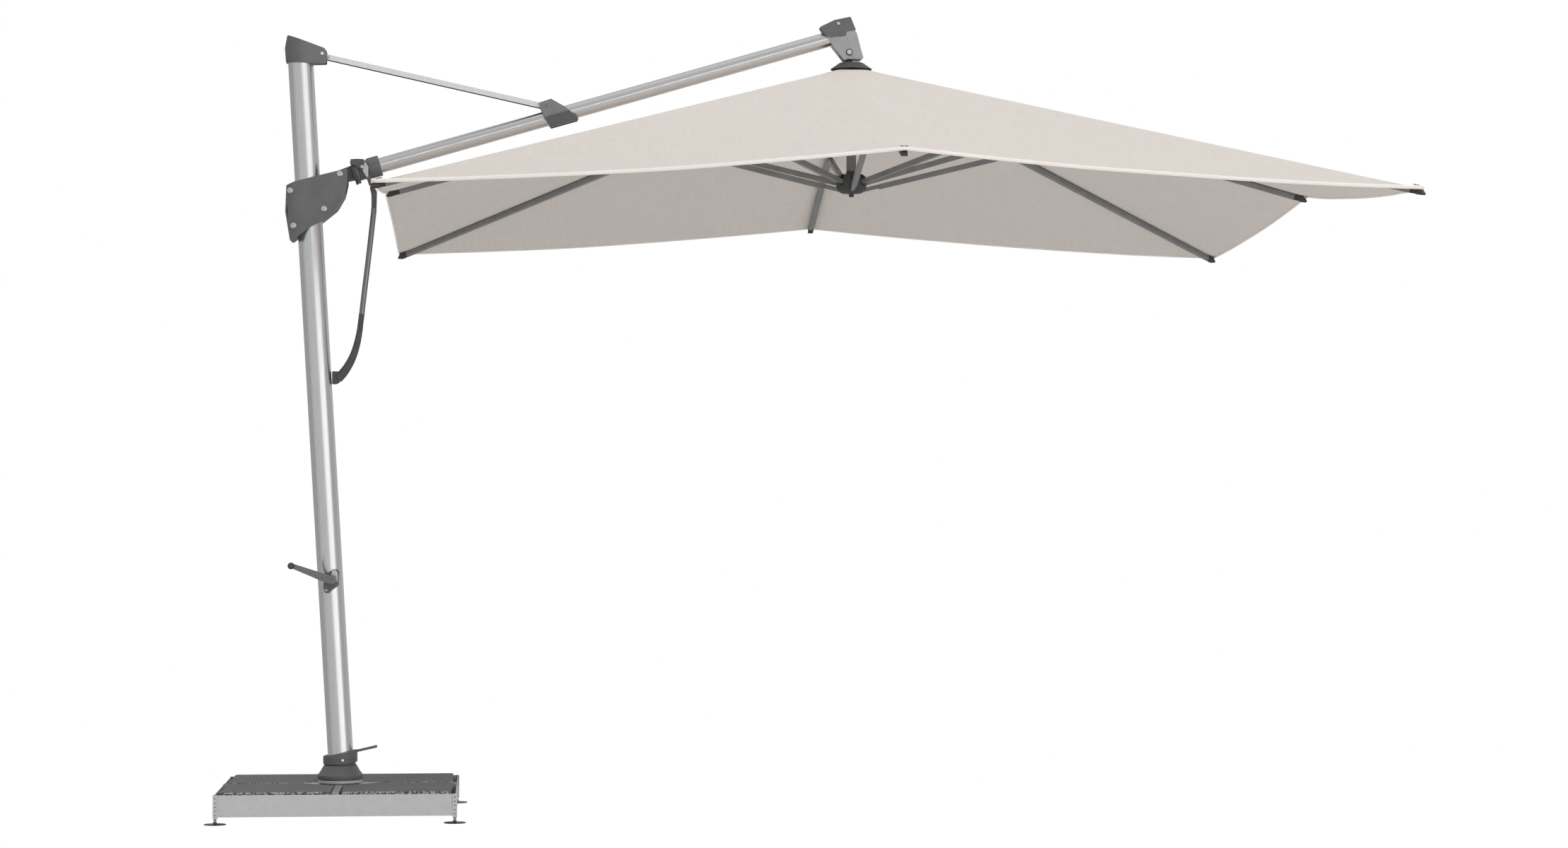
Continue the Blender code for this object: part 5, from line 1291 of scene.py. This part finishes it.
def add_keeper(rib):
    """A strap at the rib's tip with two rivets, on top of the cloth."""
    if rib.corner:
        back, slope, half_w, half_l = 0.022, 0.2427, 0.0075, 0.0120
        rivet_x, rivet_y = half_l * 0.55, 0.0
    else:
        back, slope, half_w, half_l = 0.014, MID_END_SLOPE, 0.0130, 0.0045
        rivet_x, rivet_y = 0.0, half_w * 0.62
    rim = hem_point(rib.number - 1, 0.0) + Vector((CANOPY_X, 0, 0))
    foot = rim - rib.out * back + Vector((0, 0, 0.0042 + back * 0.26))
    place = Matrix.Translation(foot) @ rot_z(rib.azimuth) @ rot_y(math.atan(slope))
    outline = rounded([(-half_l, 0.0), (half_l, 0.0), (half_l, 0.0016), (-half_l, 0.0016)], 0.0006, 2)
    add_piece(f"tip_keeper_{rib.number}", prism(outline, -half_w, half_w), rib.body, PLASTIC, place,
              bevel=0.0005)
    for s, label in ((-1, "a"), (1, "b")):
        rivet_place = place @ Matrix.Translation((s * rivet_x, s * rivet_y, 0.0015))
        add_piece(f"tip_rivet_{rib.number}_{label}", lathe(rivet_profile, 24), rib.body, CAST_DARK,
                  rivet_place)


for i, rib in enumerate(RIBS):
    sheet = add_piece(f"canopy_cloth_{rib.number}", canopy_piece(i), rib.body, CLOTH,
                      replaces="canopy_fabric" if i == 0 else None, sharp=60)
    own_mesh(sheet)
    hem = add_piece(f"canopy_hem_{rib.number}", hem_piece(i), rib.body, HEM, sharp=70)
    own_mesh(hem)
    add_keeper(rib)

# ================================================================ studio
scene = bpy.context.scene
scene.view_settings.view_transform = "Standard"
scene.view_settings.look = "None"


def add_floor():
    """A pale floor that the camera sees as pure white."""
    tone = 0.85
    bm = bmesh.new()
    bmesh.ops.create_grid(bm, x_segments=2, y_segments=2, size=60)
    floor = bpy.data.objects.new("floor", mesh_of(bm, "floor"))
    scene.collection.objects.link(floor)
    material = bpy.data.materials.new("pale_floor")
    material.use_nodes = True
    material.node_tree.nodes.clear()
    nodes = Nodes(material.node_tree)
    cloud = nodes.add("ShaderNodeTexNoise", {"Scale": 0.8}).outputs["Fac"]
    diffuse = nodes.add("ShaderNodeBsdfDiffuse", {"Color": nodes.ramp(cloud, [(0.0, tone), (1.0, tone + 0.01)])})
    white = nodes.add("ShaderNodeEmission", {"Color": (1, 1, 1), "Strength": 1.0})
    seen = nodes.add("ShaderNodeLightPath").outputs["Is Camera Ray"]
    mix = nodes.add("ShaderNodeMixShader", {0: seen, 1: diffuse.outputs[0], 2: white.outputs[0]})
    nodes.add("ShaderNodeOutputMaterial", {"Surface": mix.outputs[0]})
    floor.data.materials.append(material)
    floor.visible_glossy = False


def set_world():
    """Grey surroundings with one bright band low at the front right; white to the camera."""
    world = bpy.data.worlds.new("studio")
    scene.world = world
    world.use_nodes = True
    world.node_tree.nodes.clear()
    nodes = Nodes(world.node_tree)

    def turn(degrees):  # 0 towards -Y, positive to the right
        return 0.5 + degrees / 360.0

    def height(degrees):  # 0 level, 90 straight up
        return 0.5 + degrees / 180.0

    direction = nodes.add("ShaderNodeTexCoord").outputs["Generated"]
    x, y, z = nodes.add("ShaderNodeSeparateXYZ", {0: direction}).outputs
    azimuth = nodes.calc("ARCTAN2", x, nodes.calc("MULTIPLY", y, -1.0))
    azimuth = nodes.calc("ADD", nodes.calc("DIVIDE", azimuth, 2 * math.pi), 0.5)
    elevation = nodes.calc("ADD", nodes.calc("DIVIDE", nodes.calc("ARCSINE", z), math.pi), 0.5)
    # brightness round the horizon, brightness by height, and where the first replaces the second
    around = nodes.ramp(azimuth, [
        (0.0, 0.42), (turn(-120), 0.40), (turn(-80), 0.40), (turn(-68), 0.58), (turn(6), 0.64), (turn(13), 1.30),
        (turn(54), 1.45), (turn(63), 0.46), (turn(90), 0.44), (turn(150), 0.58), (1.0, 0.42)])
    by_height = nodes.ramp(elevation, [
        (0.0, 0.15), (height(-78), 0.14), (height(-62), 0.26), (height(-15), 0.36),
        (height(12), 0.60), (height(50), 0.64), (height(75), 0.80), (1.0, 1.0)])
    band = nodes.ramp(elevation, [
        (0.0, 0.0), (height(-19), 0.0), (height(-8), 1.0), (height(10), 1.0), (height(19), 0.0), (1.0, 0.0)])
    glow = nodes.mix(band, by_height, around)
    lit = nodes.add("ShaderNodeBackground", {"Color": glow, "Strength": 0.92})
    white = nodes.add("ShaderNodeBackground", {"Color": (1.0, 1.0, 1.0), "Strength": 1.0})
    seen = nodes.add("ShaderNodeLightPath").outputs["Is Camera Ray"]
    mix = nodes.add("ShaderNodeMixShader", {0: seen, 1: lit.outputs[0], 2: white.outputs[0]})
    nodes.add("ShaderNodeOutputWorld", {"Surface": mix.outputs[0]})


def area(name, at, target, size, power):
    lamp = bpy.data.lights.new(name, "AREA")
    lamp.shape = "RECTANGLE"
    lamp.size = lamp.size_y = size
    lamp.energy = power
    ob = bpy.data.objects.new(name, lamp)
    scene.collection.objects.link(ob)
    ob.location = Vector(at) + SHIFT
    ob.rotation_mode = "QUATERNION"
    ob.rotation_quaternion = (Vector(target) - Vector(at)).to_track_quat("-Z", "Y")
    ob.visible_glossy = False
    ob.visible_camera = False


def add_camera():
    data = bpy.data.cameras.new("camera")
    data.sensor_width = 36.0
    data.lens = 81.88
    data.clip_start, data.clip_end = 0.1, 200.0
    camera = bpy.data.objects.new("camera", data)
    scene.collection.objects.link(camera)
    yaw, pitch, roll = 0.0818, 0.0199, -0.0008
    forward = Vector((math.sin(yaw) * math.cos(pitch), math.cos(yaw) * math.cos(pitch), math.sin(pitch)))
    level = Vector((math.cos(yaw), -math.sin(yaw), 0))
    upright = level.cross(forward)
    right = level * math.cos(roll) + upright * math.sin(roll)
    up = -level * math.sin(roll) + upright * math.cos(roll)
    turn = Matrix((right, up, -forward)).transposed().to_4x4()
    camera.matrix_world = Matrix.Translation(Vector((0.5618, -13.4197, 1.1853)) + SHIFT) @ turn
    scene.camera = camera


add_floor()
set_world()
area("key", at=(4.5, -8.5, 7.5), target=(1.4, 0, 1.8), size=5.0, power=360)
area("top", at=(1.5, 0.5, 9.0), target=(1.5, 0, 0), size=7.0, power=190)
area("floor_fill", at=(1.9, -0.3, 0.02), target=(1.9, -0.3, 3.0), size=5.0, power=18)
add_camera()
